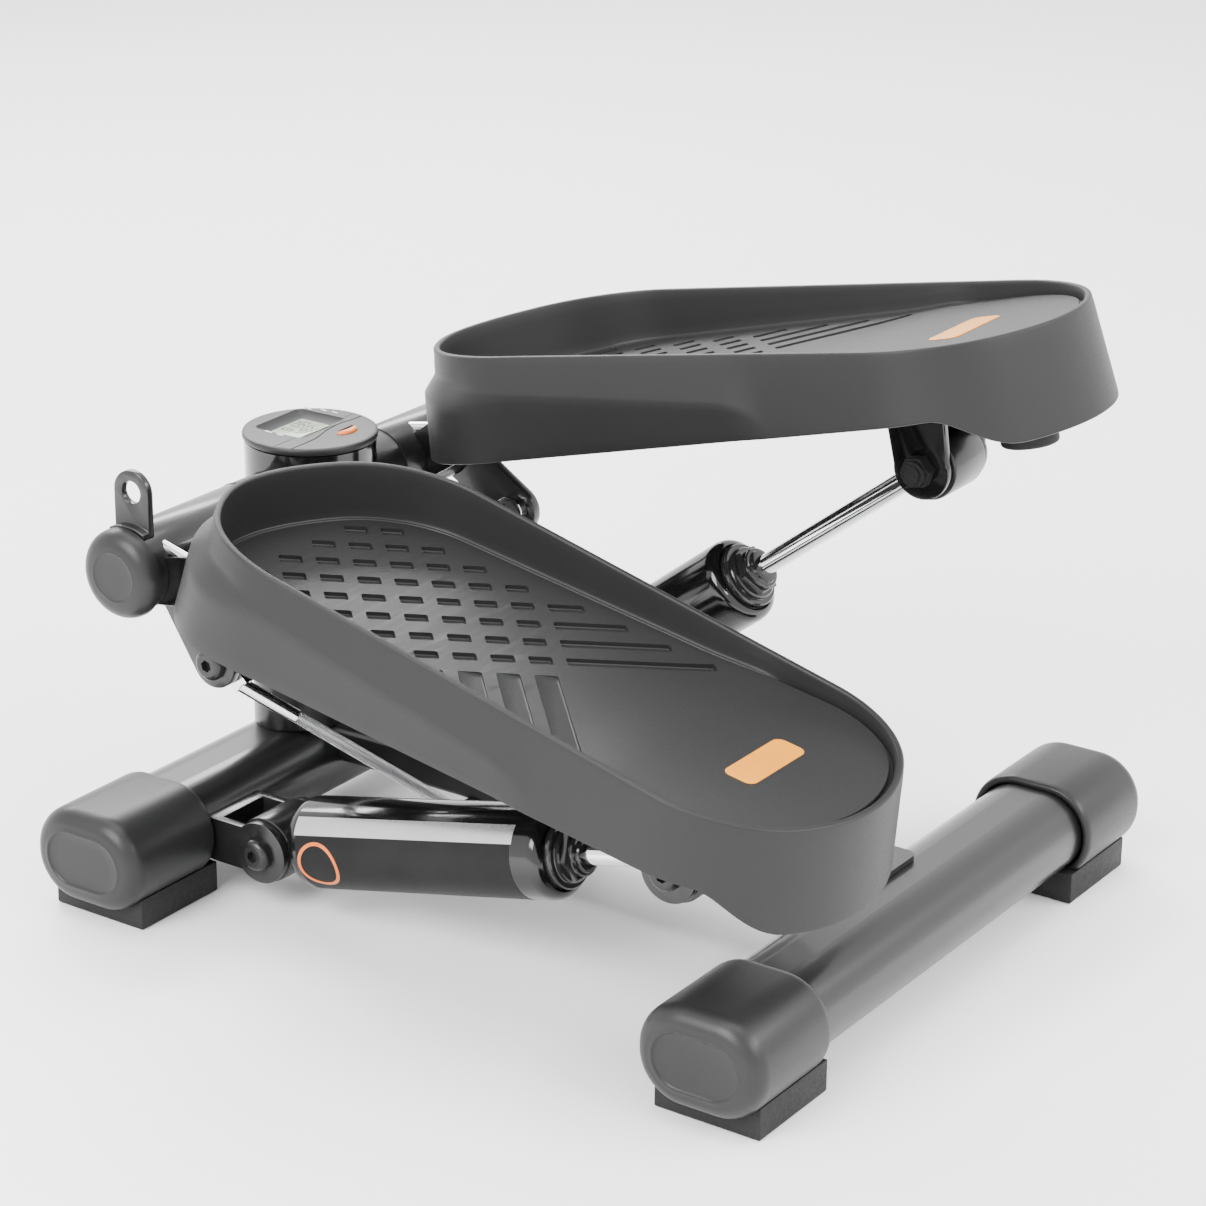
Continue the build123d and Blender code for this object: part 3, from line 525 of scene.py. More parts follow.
def tapered_pocket(bm, center, angle, length, width, depth):
    """Cutter for one recess: sunk into the floor with sloped, softened sides."""
    x, y = center
    turn = Matrix.Rotation(angle, 3, "Z")
    level = floor_z(y)
    rings = []
    for rise, shrink in ((3.0, 0.0), (0.0, 0.0), (-depth * 0.8, 0.1), (-depth, 0.5)):
        ring = []
        for px, py in round_rect(length - 2 * shrink, width - 2 * shrink, 1.1, 3):
            p = turn @ Vector((px, py, 0))
            shelf = 0.72 * depth * smooth_step(-py, -width * 0.25, width / 2) if rise < 0 else 0.0
            ring.append((x + p.x, y + p.y, level - FLOOR_SLOPE * p.y + rise + shelf))
        rings.append(ring)
    add_solid(bm, rings)


def inside_floor(x, y, margin):
    """True where a point on the floor is at least margin inside the well."""
    half = HALF_WIDTH - margin
    if y > TOE_START:
        return hypot(max(abs(x) - (HALF_WIDTH - TOE_R), 0), y - TOE_START) < TOE_R - margin
    return abs(x) < half


def floor_cutters():
    """Recesses on a diagonal lattice at the front, then grooves that fan out to both sides."""
    bm = bmesh.new()
    along_x, along_y = cos(DIAGONAL), sin(DIAGONAL)
    length, width, depth = RECESS
    for i in range(-5, 5):
        for j in range(-6, 5):
            x = (i - j) * LATTICE
            y = LATTICE_Y - (i + j) * LATTICE
            if i <= 3 and j <= 3:
                if inside_floor(x, y, FIELD_MARGIN) and y > FIELD_END:
                    tapered_pocket(bm, (x, y), DIAGONAL, *RECESS)
            elif i == 4 and j <= 3:
                reach = (GROOVE_REACH - x) * sqrt(2)
                if reach > GROOVE_SHORTEST:
                    mid = reach / 2 - length / 2
                    tapered_pocket(bm, (x + along_x * mid, y + along_y * mid), DIAGONAL, reach,
                                   width, depth)
            elif j == 4 and i <= 3:
                reach = (GROOVE_REACH + x) * sqrt(2)
                if reach > GROOVE_SHORTEST:
                    mid = reach / 2 - width / 2
                    tapered_pocket(bm, (x - along_x * mid, y + along_y * mid), pi - DIAGONAL, reach,
                                   length, SHALLOW)
    return bm


def tray_floor(side_name):
    """Foot plate of the tray: recesses, grooves and the smooth heel area with its gap."""
    front, heel = tray_outline(-6.2), tray_outline(-5.6)
    edge = []
    for (fx, fy), (hx, hy) in zip(front, heel):
        gap = heel_gap(fy)
        edge.append((mix(fx, hx, gap), mix(fy, hy, gap)))
    eased = [(x * 0.9955, TRAY_MID_Y + (y - TRAY_MID_Y) * 0.998) for x, y in edge]
    bm = bmesh.new()
    rings = [[(x, y, floor_z(y) - 3.0) for x, y in edge],
             [(x, y, floor_z(y) - 0.35) for x, y in edge],
             [(x, y, floor_z(y)) for x, y in eased]]
    rows = add_rings(bm, rings)
    for row in (rows[0], rows[-1]):
        count = len(row)
        pairs = [(row[(TOE_TIP + k) % count], row[(TOE_TIP - k) % count])
                 for k in range(count // 2 + 1)]
        for (a, b), (c, d) in zip(pairs, pairs[1:]):
            corners = []
            for v in (a, c, d, b):
                if v not in corners:
                    corners.append(v)
            if len(corners) > 2:
                bm.faces.new(corners)
    bmesh.ops.recalc_face_normals(bm, faces=bm.faces)
    cutters = floor_cutters()
    bmesh.ops.recalc_face_normals(cutters, faces=cutters.faces)
    cut = cut_mesh(plain_mesh(bm, "plate"), plain_mesh(cutters, "floor_cutters"))
    bm = bmesh.new()
    bm.from_mesh(cut)
    mesh = mesh_from(bm, f"{side_name}_tray_floor", pedal_matrix(side_name))
    finish_piece(f"{side_name}_tray_floor", mesh, f"{side_name}_pedal", "tray",
                 (f"{side_name}_heel_pad",), angle=25)


BADGE = (43.0, 15.0, 4.0)         # length, width, corner radius
BADGE_Y = -309.0


def tray_badge(side_name):
    bm = bmesh.new()
    rings = []
    for grow, rise in ((0.0, -0.2), (0.0, 0.25), (-0.3, 0.4), (-1.2, 0.45)):
        rings.append([(x, BADGE_Y + y, floor_z(BADGE_Y + y) + rise)
                      for x, y in round_rect(BADGE[0] + 2 * grow, BADGE[1] + 2 * grow, BADGE[2] + grow, 8)])
    add_solid(bm, rings)
    mesh = mesh_from(bm, f"{side_name}_heel_badge", pedal_matrix(side_name))
    finish_piece(f"{side_name}_heel_badge", mesh, f"{side_name}_pedal", "badge")


for side_name, side in SIDES:
    tray_shell(side_name)
    tray_floor(side_name)
    tray_badge(side_name)


# ------------------------------------------------------------------ end caps

CAP_CORNER = 22.0
CAP_SHOULDER = 9.5
# Round the open mouth: how far short of the full length, and inset
MOUTH_PROFILE = ((9, 4.2), (1.5, 3.9), (0.4, 3.4), (0, 2.6), (0.2, 1.3), (1.0, 0.5), (2.2, 0.15), (4, 0.0))
# The sunk obround on the end: depth, and growth of its outline
OBROUND_PROFILE = ((0.15, 0.6), (0.0, 0.0), (0.1, -0.5), (0.6, -0.9), (0.8, -1.6), (0.8, -6.0))


def end_cap(node, side):
    """Moulded crossbar cap: open mouth, soft shoulders and a sunk obround on its end."""
    low, high = low_corner(node), high_corner(node)
    center = (low + high) / 2
    width, height = high.y - low.y, high.z - low.z
    mouth, end = (low.x, high.x) if side > 0 else (high.x, low.x)

    def placed(x_in, outline):
        return [(end - side * x_in, center.y + py, center.z + pz) for py, pz in outline]

    def ring(x_in, inset):
        corner = max(CAP_CORNER - inset, 2.0)
        return placed(x_in, round_rect(width - 2 * inset, height - 2 * inset, corner, 12))

    length = abs(end - mouth)
    rings = [ring(length - short, inset) for short, inset in MOUTH_PROFILE]
    rings.append(ring(length / 2, 0.0))
    shoulder_in = CAP_SHOULDER * 0.9
    for k in range(10):
        a = (pi / 2) * k / 9
        rings.append(ring(CAP_SHOULDER * (1 - sin(a)) + 0.4 * sin(a), shoulder_in * (1 - cos(a))))
    flat_h = height - 2 * CAP_SHOULDER * 0.9
    flat_w = width - 2 * CAP_SHOULDER * 0.9
    for depth, grow in OBROUND_PROFILE:
        w, h = flat_w - 2 + 2 * grow, flat_h - 2 + 2 * grow
        rings.append(placed(depth, round_rect(w, h, h / 2 - 0.05, 12)))
    bm = bmesh.new()
    add_rings(bm, rings, cap_end=True)
    mesh = mesh_from(bm, node + "_moulding")
    finish_piece(node + "_moulding", mesh, "frame", "cap", (node,), angle=40)


for end_name in ("front", "rear"):
    for side_name, side in SIDES:
        end_cap(f"{end_name}_{side_name}_end_cap", side)
        eased_copy(f"{end_name}_{side_name}_foot", "frame", "rubber", 1.2)


# ------------------------------------------------------------------ axle caps

def axle_cap(side_name, side):
    node = f"{side_name}_axle_cap"
    low, high = low_corner(node), high_corner(node)
    radius = (high.z - low.z) / 2
    center = (low + high) / 2
    base = low.x if side < 0 else high.x
    tip = Vector((base, center.y, center.z))
    hub_end = abs((high_corner(f"{side_name}_hub") if side > 0 else low_corner(f"{side_name}_hub")).x)
    dome = abs(base) - hub_end
    plug = -dome - 3.5
    profile = [(0, plug), (radius - 8, plug), (radius - 8, -dome), (radius - 0.6, -dome),
               (radius, -dome + 0.6)]
    for k in range(1, 11):
        a = (pi / 2) * k / 10
        profile.append((radius - 8.5 * (1 - cos(a)), -dome + 1.2 + (dome - 1.4) * sin(a)))
    profile += [(radius - 9.3, -0.05), (radius - 9.7, -0.35), (radius - 10.3, -0.45), (4, -0.35),
                (0, -0.3)]
    bm = bmesh.new()
    lathe(bm, profile, along(tip, (side, 0, 0), (0, 1, 0)))
    mesh = mesh_from(bm, node + "_moulding")
    finish_piece(node + "_moulding", mesh, f"{side_name}_pedal", "cap",
                 (node,), angle=35)


for side_name, side in SIDES:
    axle_cap(side_name, side)


# ------------------------------------------------------------------ steelwork

for side_name, side in SIDES:
    pedal = f"{side_name}_pedal"
    eased_copy(f"{side_name}_arm", pedal, "gloss", 0.6)
    eased_copy(f"{side_name}_hub", pedal, "paint", 0.5)
    eased_copy(f"{side_name}_band_tab", pedal, "paint", 0.5)
    eased_copy(f"{side_name}_cylinder_bracket", "frame", "paint", 0.6)
eased_copy("post", "frame", "paint", 0.6)

NODE_LOOKS = {
    "crossbar": "paint", "center_beam": "paint", "pulley_guard": "paint", "axle": "steel",
    "axle_end_screws": "zinc", "front_cylinder_bolts": "bolt", "clevis_bolt": "bolt", "lug_bolt": "bolt",
    "pulley_pin": "steel", "pulley": "nylon", "hub_bushes": "nylon", "console_board": "board",
    "tie_rods": "chrome", "bumper": "rubber", "cable_ferrule": "chrome", "console_housing": "gloss",
    "arm": "gloss", "hub": "paint", "band_tab": "paint", "cylinder_bracket": "paint", "post": "paint",
    "end_cap": "cap", "foot": "rubber", "axle_cap": "cap", "tray": "tray", "heel_pad": "tray",
    "console_face": "disc", "console_lens": "lcd", "console_button": "orange", "cylinder_tube": "gloss",
    "cylinder_gland": "gland", "piston_rod": "chrome", "cable": "wire",
}

for node, piece in frame["nodes"].items():
    matching = [key for key in NODE_LOOKS if node.endswith(key)]
    look = NODE_LOOKS[max(matching, key=len)]
    piece.data.materials.clear()
    piece.data.materials.append(MAT[look])
    piece.data.polygons.foreach_set("use_smooth", [True] * len(piece.data.polygons))
    piece.data.set_sharp_from_angle(angle=radians(32))


WASHER_BORE = 11
WASHER_R = 19.3


def hub_seam(side_name, side):
    """Thin dark washer between the fixed boss and the turning hub."""
    hub_low, hub_high = low_corner(f"{side_name}_hub"), high_corner(f"{side_name}_hub")
    inner = hub_low.x if side > 0 else hub_high.x
    axle = Vector(JOINTS[f"{side_name}_pedal_hinge"]["pos_m"]) / MM
    place = along((inner, axle.y, axle.z), (-side, 0, 0), (0, 1, 0))
    bm = bmesh.new()
    lathe(bm, [(WASHER_BORE, 0.05), (WASHER_R - 0.3, 0.05), (WASHER_R, 0.2), (WASHER_R, 0.4),
               (WASHER_R - 0.3, 0.55), (WASHER_BORE, 0.55), (WASHER_BORE, 0.05)], place)
    bmesh.ops.remove_doubles(bm, verts=bm.verts, dist=0.001)
    mesh = mesh_from(bm, f"{side_name}_hub_washer")
    finish_piece(f"{side_name}_hub_washer", mesh, f"{side_name}_pedal", "cap")


for side_name, side in SIDES:
    hub_seam(side_name, side)


# ------------------------------------------------------------------ console

LCD_X, LCD_Y = 3.2, 8.5
LCD_W, LCD_H = 23.5, 17.0
LCD_TURN = radians(1.0)
DISC_THICK = 3.6
BOSS_R = 19.15
BOSS_REACH = 40
# Sunk surround of the display: height over the disc, growth of its outline, corner radius
POCKET_PROFILE = ((2.0, 8.2, 4.0), (0.02, 6.2, 4.0), (-1.0, 5.2, 3.4), (-2.7, 1.0, 1.6), (-2.9, 0.4, 1.4))
CELL_PROFILE = ((-2.95, 0.0), (-2.55, 0.0), (-2.45, -0.2))
GROOVE = ((-31.0, -12.0), (-18.0, -12.6), (-6.0, -11.0), (3.0, -7.6), (14.0, -6.6), (24.0, -8.2),
          (34.0, -7.6))
GROOVE_R = 0.42
LINE = ((-31.0, -3.5), (0.0, -3.6), (20.0, -3.9), (34.0, -1.5))
LINE_R = 0.26


def console_drum(up, top, radius):
    """Drum under the disc, hollowed where the fixed boss crosses it."""
    base, under = low_corner("console_housing").z + 1, top - DISC_THICK
    bm = bmesh.new()
    lathe(bm, [(0, base), (radius - 2.2, base), (radius - 1.0, base + 1),
               (radius - 0.8, top - 4.2), (radius - 1.4, under), (0, under)], up, 96)
    drum = mesh_from(bm, "console_drum")
    bm = bmesh.new()
    lathe(bm, [(0, -BOSS_REACH), (BOSS_R, -BOSS_REACH), (BOSS_R, BOSS_REACH), (0, BOSS_REACH)],
          along(node_center("axle"), (1, 0, 0), (0, 1, 0)), 96)
    drum = cut_mesh(drum, mesh_from(bm, "boss_cutter"))
    finish_piece("console_drum", drum, "frame", "gloss", ("console_housing",))


def console_disc(up, turn, top, radius):
    """Disc with the display's sunk surround, a curved groove and a fine line."""
    under = top - DISC_THICK
    bm = bmesh.new()
    lathe(bm, [(0, under), (radius - 1.2, under), (radius - 0.4, top - 3.3), (radius, top - 2.6),
               (radius, top - 1.2), (radius - 0.35, top - 0.45), (radius - 1.1, top - 0.08),
               (radius - 1.8, top), (0, top)], up, 128)
    disc = mesh_from(bm, "console_disc")
    bm = bmesh.new()
    rings = [[turn @ Vector((x, y, rise))
              for x, y in round_rect(LCD_W + 2 * grow, LCD_H + 2 * grow, corner, 6)]
             for rise, grow, corner in POCKET_PROFILE]
    add_solid(bm, rings)
    disc = cut_mesh(disc, mesh_from(bm, "pocket_cutter"))
    disc = cut_mesh(disc, tube_mesh("groove", [up @ Vector((x, y, top)) for x, y in GROOVE], GROOVE_R, 6))
    disc = cut_mesh(disc, tube_mesh("line", [up @ Vector((x, y, top + 0.1)) for x, y in LINE], LINE_R, 6))
    finish_piece("console_disc", disc, "frame", "disc", ("console_face",), angle=30)


def console():
    """Drum, disc with a sunk display, printed marks and the orange rocker."""
    face_low, face_high = low_corner("console_face"), high_corner("console_face")
    center = (face_low + face_high) / 2
    top, radius = face_high.z, (face_high.x - face_low.x) / 2
    up = Matrix.Translation((center.x, center.y, 0))
    turn = up @ Matrix.Translation((LCD_X, LCD_Y, top)) @ Matrix.Rotation(LCD_TURN, 4, "Z")
    console_drum(up, top, radius)
    console_disc(up, turn, top, radius)
    bm = bmesh.new()
    rings = [[turn @ Vector((x, y, rise))
              for x, y in round_rect(LCD_W + 2 * grow, LCD_H + 2 * grow, 1.0, 5)]
             for rise, grow in CELL_PROFILE]
    add_solid(bm, rings)
    piece_from(bm, "display_cell", "frame", "lcd", ("console_lens",))
    display_digits(turn)
    print_marks(up, top)
    rocker()


SEGMENTS = {"0": "abcdef", "1": "bc", "2": "abged", "3": "abgcd", "4": "fgbc", "5": "afgcd",
            "8": "abcdefg"}
FIGURE_ROWS = ((3.6, "0135"), (-4.4, "482"))
FIGURE_W, FIGURE_H = 2.5, 2.9     # a figure's width and half its height
FIGURE_LEFT, FIGURE_STEP = -6.5, 4.4
FIGURE_LINE = 0.6
FIGURE_RISE = -2.44
# Each mark's middle, length and lean in degrees
MARKS = ((23.4, 20.2, 6.0, 70), (25.4, 12.2, 4.6, 80), (25.8, 5.6, 4.0, 84), (-15.4, 12.5, 4.6, 84),
         (-15.8, 5.2, 4.0, 88))
MARK_WIDTH = 1.1


def add_bar(bm, matrix, start, end, width, rise, thickness=0.12):
    """Flat bar with pointed ends between two points."""
    a, b = Vector(start), Vector(end)
    run = (b - a).normalized()
    across = Vector((-run.y, run.x)) * width / 2
    tip = run * width / 2
    outline = [a, a + tip + across, b - tip + across, b, b - tip - across, a + tip - across]
    rings = [[matrix @ Vector((p.x, p.y, rise + lift)) for p in outline] for lift in (0, thickness)]
    add_solid(bm, rings)


def display_digits(turn):
    """Two rows of plain seven-segment figures, as a counter shows."""
    bm = bmesh.new()
    w, h = FIGURE_W, FIGURE_H
    spots = {"a": ((0, 2 * h), (w, 2 * h)), "b": ((w, 2 * h), (w, h)), "c": ((w, h), (w, 0)),
             "d": ((0, 0), (w, 0)), "e": ((0, 0), (0, h)), "f": ((0, h), (0, 2 * h)),
             "g": ((0, h), (w, h))}
    for row_y, text in FIGURE_ROWS:
        for index, figure in enumerate(text):
            x = FIGURE_LEFT + index * FIGURE_STEP
            for key in SEGMENTS[figure]:
                (ax, ay), (bx, by) = spots[key]
                start, end = (x + ax, row_y - h + ay), (x + bx, row_y - h + by)
                add_bar(bm, turn, start, end, FIGURE_LINE, FIGURE_RISE)
    piece_from(bm, "display_figures", "frame", "segment")


def print_marks(up, top):
    """Plain white dashes printed round the display."""
    bm = bmesh.new()
    for x, y, length, angle in MARKS:
        run = Vector((cos(radians(angle)), sin(radians(angle)))) * length / 2
        add_bar(bm, up, (x - run.x, y - run.y), (x + run.x, y + run.y), MARK_WIDTH, top - 0.05)
    piece_from(bm, "console_marks", "frame", "mark")


def tube_mesh(name, points, radius, resolution):
    """Round tube on a smooth curve through control points given in millimetres."""
    curve = bpy.data.curves.new(name, "CURVE")
    curve.dimensions = "3D"
    curve.bevel_depth = radius * MM
    curve.bevel_resolution = resolution // 2
    curve.use_fill_caps = True
    spline = curve.splines.new("NURBS")
    spline.points.add(len(points) - 1)
    for spot, point in zip(spline.points, points):
        spot.co = (*(Vector(point) * MM), 1)
    spline.order_u = 3
    spline.use_endpoint_u = True
    spline.resolution_u = 10
    return applied(linked(name, curve))


ROCKER_SPINE = ((-6.4, 1.6), (-3.5, -0.4), (0.0, -1.3), (3.5, -0.6), (6.4, 1.9))
ROCKER_SAMPLES = 26
ROCKER_HALF = 2.0


def rocker_ring(grow, z):
    """Bean-shaped outline about the CAD button's middle."""
    low, high = low_corner("console_button"), high_corner("console_button")
    center = (low + high) / 2
    spine = [Vector((center.x + dx, center.y + dy, 0)) for dx, dy in ROCKER_SPINE]
    upper, lower = [], []
    for k in range(ROCKER_SAMPLES):
        t = k / (ROCKER_SAMPLES - 1)
        spot = t * (len(spine) - 1)
        i = min(int(spot), len(spine) - 2)
        point = spine[i].lerp(spine[i + 1], spot - i)
        run = (spine[i + 1] - spine[i]).normalized()
        point += run * grow * (2 * t - 1)
        half = ROCKER_HALF * sqrt(max(1 - (2 * t - 1) ** 6, 0.02)) + grow
        across = Vector((-run.y, run.x, 0)) * half
        upper.append(point + across)
        lower.append(point - across)
    return [(p.x, p.y, z) for p in upper + lower[::-1]]


def rocker():
    """Orange button that rides on the console's own sliding body."""
    low, high = low_corner("console_button"), high_corner("console_button")
    rings = [rocker_ring(0.0, low.z + 1.7), rocker_ring(0.0, high.z - 0.9),
             rocker_ring(-0.25, high.z - 0.35), rocker_ring(-0.8, high.z)]
    bm = bmesh.new()
    add_solid(bm, rings)
    piece_from(bm, "console_rocker", "button", "orange",
                 ("console_button",), angle=50)


console()


# ------------------------------------------------------------------ hydraulic cylinders

CYLINDER_START = 18.0
CYLINDER_END = 161.0
CYLINDER_R = 21.0
EYE_R = 15.5
EYE_HALF = 13.5
EYE_BORE = 4.1
ROD_EYE_BORE = 8.2
ROD_SLEEVE = 5.06                 # bore of the gland's pieces, round the rod
ROD_R = 5.0
PISTON_BACK = 150.0               # the piston's face, back from the rod's eye
HEX_R = 12.6
LABEL_LIFT = 0.12
BAND_LIFT = 0.16
LABEL_SPAN = (25.0, 146.0)
BAND_SPAN = (24.0, 147.0)
RING_R, RING_WIDTH, RING_Z = 10.6, 1.7, 36.5
# Section of the eye from its bore: distance in from the outer radius and from the end face
EYE_PROFILE = ((4.5, 0), (4.2, 0.7), (3.6, 0.7), (3.3, 0), (1.2, 0), (0.3, 0.4), (0, 1.3))
# Radius and height over the tube's end
GLAND_RING = ((15.6, -1.5), (15.6, -0.3), (16.0, 0.2), (16.0, 2.6), (15.4, 3.2), (13.4, 3.3),
              (13.1, 3.8), (13.1, 5.0), (12.4, 5.6))
GLAND_TIP = ((10.0, 8.4), (10.2, 8.8), (10.2, 10.4), (9.6, 11.0), (8.4, 11.2), (8.0, 11.6),
             (7.8, 12.6), (6.6, 13.0))


def cylinder_frame(side_name):
    front = Vector(JOINTS[f"{side_name}_cylinder_pivot"]["pos_m"]) / MM
    direction = Vector(JOINTS[f"{side_name}_rod_slide"]["axis"])
    return front, direction


def eye_mesh(center, bore, half):
    """Eye across the cylinder's end, with rounded rims."""
    bm = bmesh.new()
    place = along(center, (1, 0, 0), (0, 1, 0))
    section = [(EYE_R - inset, half - depth) for inset, depth in EYE_PROFILE]
    lower = [(radius, -height) for radius, height in section]
    lathe(bm, [(bore, -half), *lower, *section[::-1], (bore, half), (bore, -half)], place, 72)
    bmesh.ops.remove_doubles(bm, verts=bm.verts, dist=0.001)
    return bm


def gland_collar(bm, place, outline):
    """Turned collar round the rod, open at its bore."""
    rows = [(radius, CYLINDER_END + height) for radius, height in outline]
    lathe(bm, [(ROD_SLEEVE, rows[0][1]), *rows, (ROD_SLEEVE, rows[-1][1])], place, 72)


def cylinder(side_name, side):
    front, direction = cylinder_frame(side_name)
    place = along(front, direction, (1, 0, 0))
    body = f"{side_name}_cylinder"
    bm = bmesh.new()
    start, end, r = CYLINDER_START, CYLINDER_END, CYLINDER_R
    profile = [(0, start + 0.2), (r - 7, start), (r - 3.4, start + 0.3), (r - 1.3, start + 1.2),
               (r - 0.25, start + 3.0), (r, start + 5.2), (r, end - 6.0), (r - 0.2, end - 3.8),
               (r - 0.9, end - 1.9), (r - 2.2, end - 0.6), (r - 3.8, end - 0.1),
               (r - 4.4, end - 0.6), (r - 5.0, end - 1.2), (0, end - 1.2)]
    lathe(bm, profile, place, 96)
    piece_from(bm, f"{side_name}_cylinder_shell", body, "gloss",
               (f"{side_name}_cylinder_tube",))
    bm = eye_mesh(front, EYE_BORE, EYE_HALF)
    neck = [[place @ Vector((x, y, z)) for x, y in round_rect(2 * EYE_HALF - w, 18 - w * 0.5, 3, 5)]
            for z, w in ((11.0, 5.0), (start - 2, 5.0), (start + 0.6, 1.0))]
    add_solid(bm, neck)
    piece_from(bm, f"{side_name}_cylinder_eye", body, "paint")
    bm = bmesh.new()
    gland_collar(bm, place, GLAND_RING)
    hexagon = [[place @ Vector((grow * HEX_R * cos(pi / 3 * k), grow * HEX_R * sin(pi / 3 * k), z))
                for k in range(6)]
               for z, grow in ((end + 5.2, 0.94), (end + 5.7, 1.0), (end + 8.1, 1.0), (end + 8.6, 0.94))]
    add_solid(bm, hexagon)
    gland_collar(bm, place, GLAND_TIP)
    piece_from(bm, f"{side_name}_gland_stack", body, "gland",
               (f"{side_name}_cylinder_gland",), angle=30)
    label(side_name, side, place, body)


SHEET = 0.25                      # thickness of the label's sheets
PATCH_STEPS = 24


def arc_patch(bm, place, radius, z_range, angle_range):
    """Thin curved sheet on the cylinder, closed at its edges."""
    z0, z1 = z_range
    a0, a1 = angle_range
    outer, inner = [], []
    for k in range(PATCH_STEPS + 1):
        a = radians(mix(a0, a1, k / PATCH_STEPS))
        for edge, r in ((outer, radius), (inner, radius - SHEET)):
            edge.append([place @ Vector((r * cos(a), r * sin(a), z)) for z in (z0, z1)])
    rings = [[o[0], o[1], i[1], i[0]] for o, i in zip(outer, inner)]
    add_solid(bm, rings)


def label(side_name, side, place, body):
    """Blank wrap-round label: dark field, silver band and a plain orange ring, with no words."""
    up_angle = 90.0 if (place.to_3x3() @ Vector((0, 1, 0))).z > 0 else -90.0
    out = 180.0 if side < 0 else 0.0
    lean = (up_angle - out + 180) % 360 - 180

    def at(share):
        return out + lean * share

    bm = bmesh.new()
    arc_patch(bm, place, CYLINDER_R + LABEL_LIFT, LABEL_SPAN, sorted((at(-0.75), at(0.30))))
    piece_from(bm, f"{side_name}_label_field", body, "label")
    bm = bmesh.new()
    arc_patch(bm, place, CYLINDER_R + BAND_LIFT, BAND_SPAN, sorted((at(0.31), at(0.58))))
    piece_from(bm, f"{side_name}_label_band", body, "silver")
    bm = bmesh.new()
    middle = radians(at(-0.12))
    half = RING_WIDTH / 2
    rings = []
    for k in range(48):
        a = 2 * pi * k / 48
        section = []
        for offset, lift in ((-half, 0.1), (half, 0.1), (half, 0.34), (-half, 0.34)):
            rr = RING_R + offset
            theta = middle + rr * sin(a) / CYLINDER_R
            reach = CYLINDER_R + lift
            spot = Vector((reach * cos(theta), reach * sin(theta), RING_Z + rr * cos(a)))
            section.append(place @ spot)
        rings.append(section)
    add_rings(bm, rings + [rings[0]])
    bmesh.ops.remove_doubles(bm, verts=bm.verts, dist=0.001)
    piece_from(bm, f"{side_name}_label_ring", body, "orange")


def piston_rod(side_name):
    front, direction = cylinder_frame(side_name)
    pin = node_center(f"{side_name}_clevis_bolt")
    pin.x = front.x
    length = (pin - front).length
    place = along(front, direction, (1, 0, 0))
    bm = bmesh.new()
    foot = length - PISTON_BACK
    eye_foot = length - EYE_R
    lathe(bm, [(0, foot - 8), (17.2, foot - 8), (17.6, foot - 7.4), (17.6, foot - 0.6), (17.2, foot),
               (ROD_R, foot), (ROD_R, eye_foot - 3), (ROD_R, eye_foot + 1.2), (0, eye_foot + 1.2)],
          place, 48)
    piece_from(bm, f"{side_name}_rod_bar", f"{side_name}_rod", "chrome",
               (f"{side_name}_piston_rod",))
    bm = eye_mesh(front + direction * length, ROD_EYE_BORE, EYE_HALF)
    lathe(bm, [(5.05, eye_foot - 5), (7.6, eye_foot - 5), (8.4, eye_foot - 4.2), (8.4, eye_foot + 0.6),
               (5.05, eye_foot + 0.6)], place, 40)
    piece_from(bm, f"{side_name}_rod_eye", f"{side_name}_rod", "paint")


for side_name, side in SIDES:
    cylinder(side_name, side)
    piston_rod(side_name)


# ------------------------------------------------------------------ cable strands

CABLE_MARGIN = 2.0                # the rope's ends stand this far inside the CAD cable's box
ROPE_WIRES = 6
ROPE_TURNS = 9.0
ROPE_STEPS = 150
WIRE_R = 0.5
WIRE_OFFSET = 0.95
ROPE_TUCK = 1.5                   # how far the rope reaches into the ferrule
SLEEVE_BORE, SLEEVE_R = 2.2, 2.95


def strand(side_name, side):
    """Stranded wire rope inside a clear sleeve, from the ferrule to the pulley guard."""
    low, high = low_corner(f"{side_name}_cable"), high_corner(f"{side_name}_cable")
    outer_x, inner_x = (low.x, high.x) if side < 0 else (high.x, low.x)
    inward = side * CABLE_MARGIN
    start = Vector((outer_x - inward, high.y - CABLE_MARGIN, high.z - CABLE_MARGIN))
    end = Vector((inner_x + inward, low.y + CABLE_MARGIN, low.z + CABLE_MARGIN))
    run = end - start
    place = along(start, run, (1, 0, 0))
    length = run.length
    body = f"{side_name}_cable_strand"
    section = [Vector((WIRE_R * cos(2 * pi * k / 6), WIRE_R * sin(2 * pi * k / 6), 0)) for k in range(6)]
    bm = bmesh.new()
    for index in range(ROPE_WIRES):
        rings = []
        for k in range(ROPE_STEPS + 1):
            t = k / ROPE_STEPS
            a = 2 * pi * (ROPE_TURNS * t + index / ROPE_WIRES)
            height = -ROPE_TUCK + (length + ROPE_TUCK) * t
            middle = Vector((WIRE_OFFSET * cos(a), WIRE_OFFSET * sin(a), height))
            rings.append([place @ (middle + spot) for spot in section])
        add_solid(bm, rings)
    lathe(bm, [(0, -ROPE_TUCK), (0.6, -ROPE_TUCK), (0.6, length), (0, length)], place, 8)
    piece_from(bm, f"{side_name}_wire_rope", body, "wire", (f"{side_name}_cable",), angle=60)
    bm = bmesh.new()
    lathe(bm, [(SLEEVE_BORE, -0.5), (2.85, -0.3), (SLEEVE_R, 0.4), (SLEEVE_R, length - 0.4),
               (SLEEVE_BORE, length), (SLEEVE_BORE, -0.5)], place, 32)
    bmesh.ops.remove_doubles(bm, verts=bm.verts, dist=0.001)
    piece_from(bm, f"{side_name}_cable_sleeve", body, "sleeve")


for side_name, side in SIDES:
    strand(side_name, side)


# ------------------------------------------------------------------ stage, lights and camera

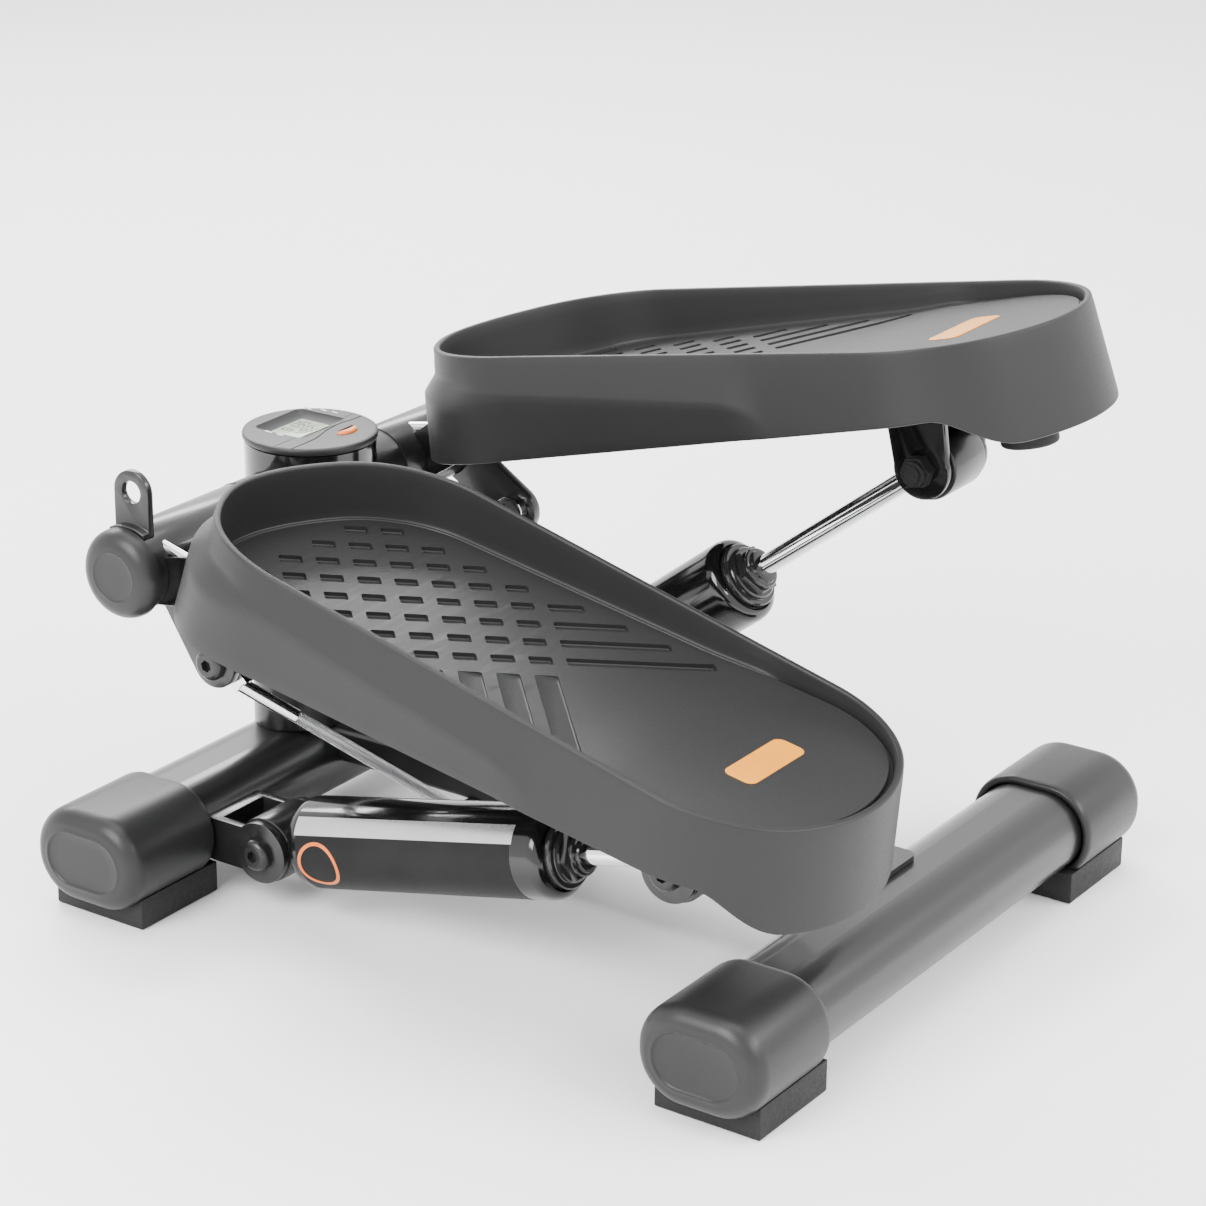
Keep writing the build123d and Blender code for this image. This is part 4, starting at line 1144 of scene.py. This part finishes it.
HORIZON_LIGHT = 2.7
ZENITH_LIGHT = 1.7
FLOOR_REACH = 6.0
TARGET = (0, 0, 0.12)             # metres, as are all places below


def stage():
    mesh = bpy.data.meshes.new("floor")
    far = FLOOR_REACH
    corners = [(-far, -far, 0), (far, -far, 0), (far, far, 0), (-far, far, 0)]
    mesh.from_pydata(corners, [], [(0, 1, 2, 3)])
    floor = linked("floor", mesh)
    floor.data.materials.append(surface("studio_floor", (0.93, 0.93, 0.93), 0.55, vary=0.01,
                                        cloud=2, grain=200, bump=0.01))
    world = bpy.data.worlds.new("studio")
    bpy.context.scene.world = world
    world.use_nodes = True
    tree = world.node_tree
    background = tree.nodes["Background"]
    background.inputs["Color"].default_value = (1, 1, 1, 1)
    coords = tree.nodes.new("ShaderNodeTexCoord")
    split = tree.nodes.new("ShaderNodeSeparateXYZ")
    fade = tree.nodes.new("ShaderNodeMapRange")
    fade.inputs["From Min"].default_value = 0.0
    fade.inputs["From Max"].default_value = 0.9
    fade.inputs["To Min"].default_value = HORIZON_LIGHT
    fade.inputs["To Max"].default_value = ZENITH_LIGHT
    tree.links.new(coords.outputs["Generated"], split.inputs["Vector"])
    tree.links.new(split.outputs["Z"], fade.inputs["Value"])
    tree.links.new(fade.outputs["Result"], background.inputs["Strength"])


def area_light(name, place, target, size, power):
    light = bpy.data.lights.new(name, "AREA")
    light.shape = "RECTANGLE"
    light.size, light.size_y = size
    light.energy = power
    lamp = linked(name, light)
    lamp.location = place
    lamp.rotation_euler = (Vector(target) - Vector(place)).to_track_quat("-Z", "Y").to_euler()


CAMERA_PLACE = (-1.2343, -0.8414, 0.7141)
CAMERA_AZIMUTH = -55.763
CAMERA_ELEVATION = 21.036
CAMERA_ROLL = 0.621
CAMERA_LENS = 106.17


def camera():
    azimuth, elevation, roll = (radians(v) for v in (CAMERA_AZIMUTH, CAMERA_ELEVATION, CAMERA_ROLL))
    back = Vector((sin(azimuth) * cos(elevation), -cos(azimuth) * cos(elevation), sin(elevation)))
    right = Vector((0, 0, 1)).cross(back).normalized()
    up = back.cross(right)
    rolled_right = right * cos(roll) + up * sin(roll)
    rolled_up = up * cos(roll) - right * sin(roll)
    data = bpy.data.cameras.new("camera")
    data.lens = CAMERA_LENS
    data.sensor_width = 36.0
    data.clip_start = 0.01
    viewer = linked("camera", data)
    axes = Matrix((rolled_right, rolled_up, back)).transposed()
    viewer.matrix_world = Matrix.Translation(CAMERA_PLACE) @ axes.to_4x4()
    bpy.context.scene.camera = viewer


stage()
area_light("key", (-1.5, 0.2, 1.3), TARGET, (1.0, 1.0), 55)
area_light("rear_strip", (0.5, -1.8, 1.5), TARGET, (2.4, 0.3), 60)
area_light("back_strip", (0.9, 1.4, 1.2), TARGET, (1.6, 0.4), 40)
area_light("overhead", (0.1, 0.1, 2.4), TARGET, (1.8, 1.8), 50)
camera()
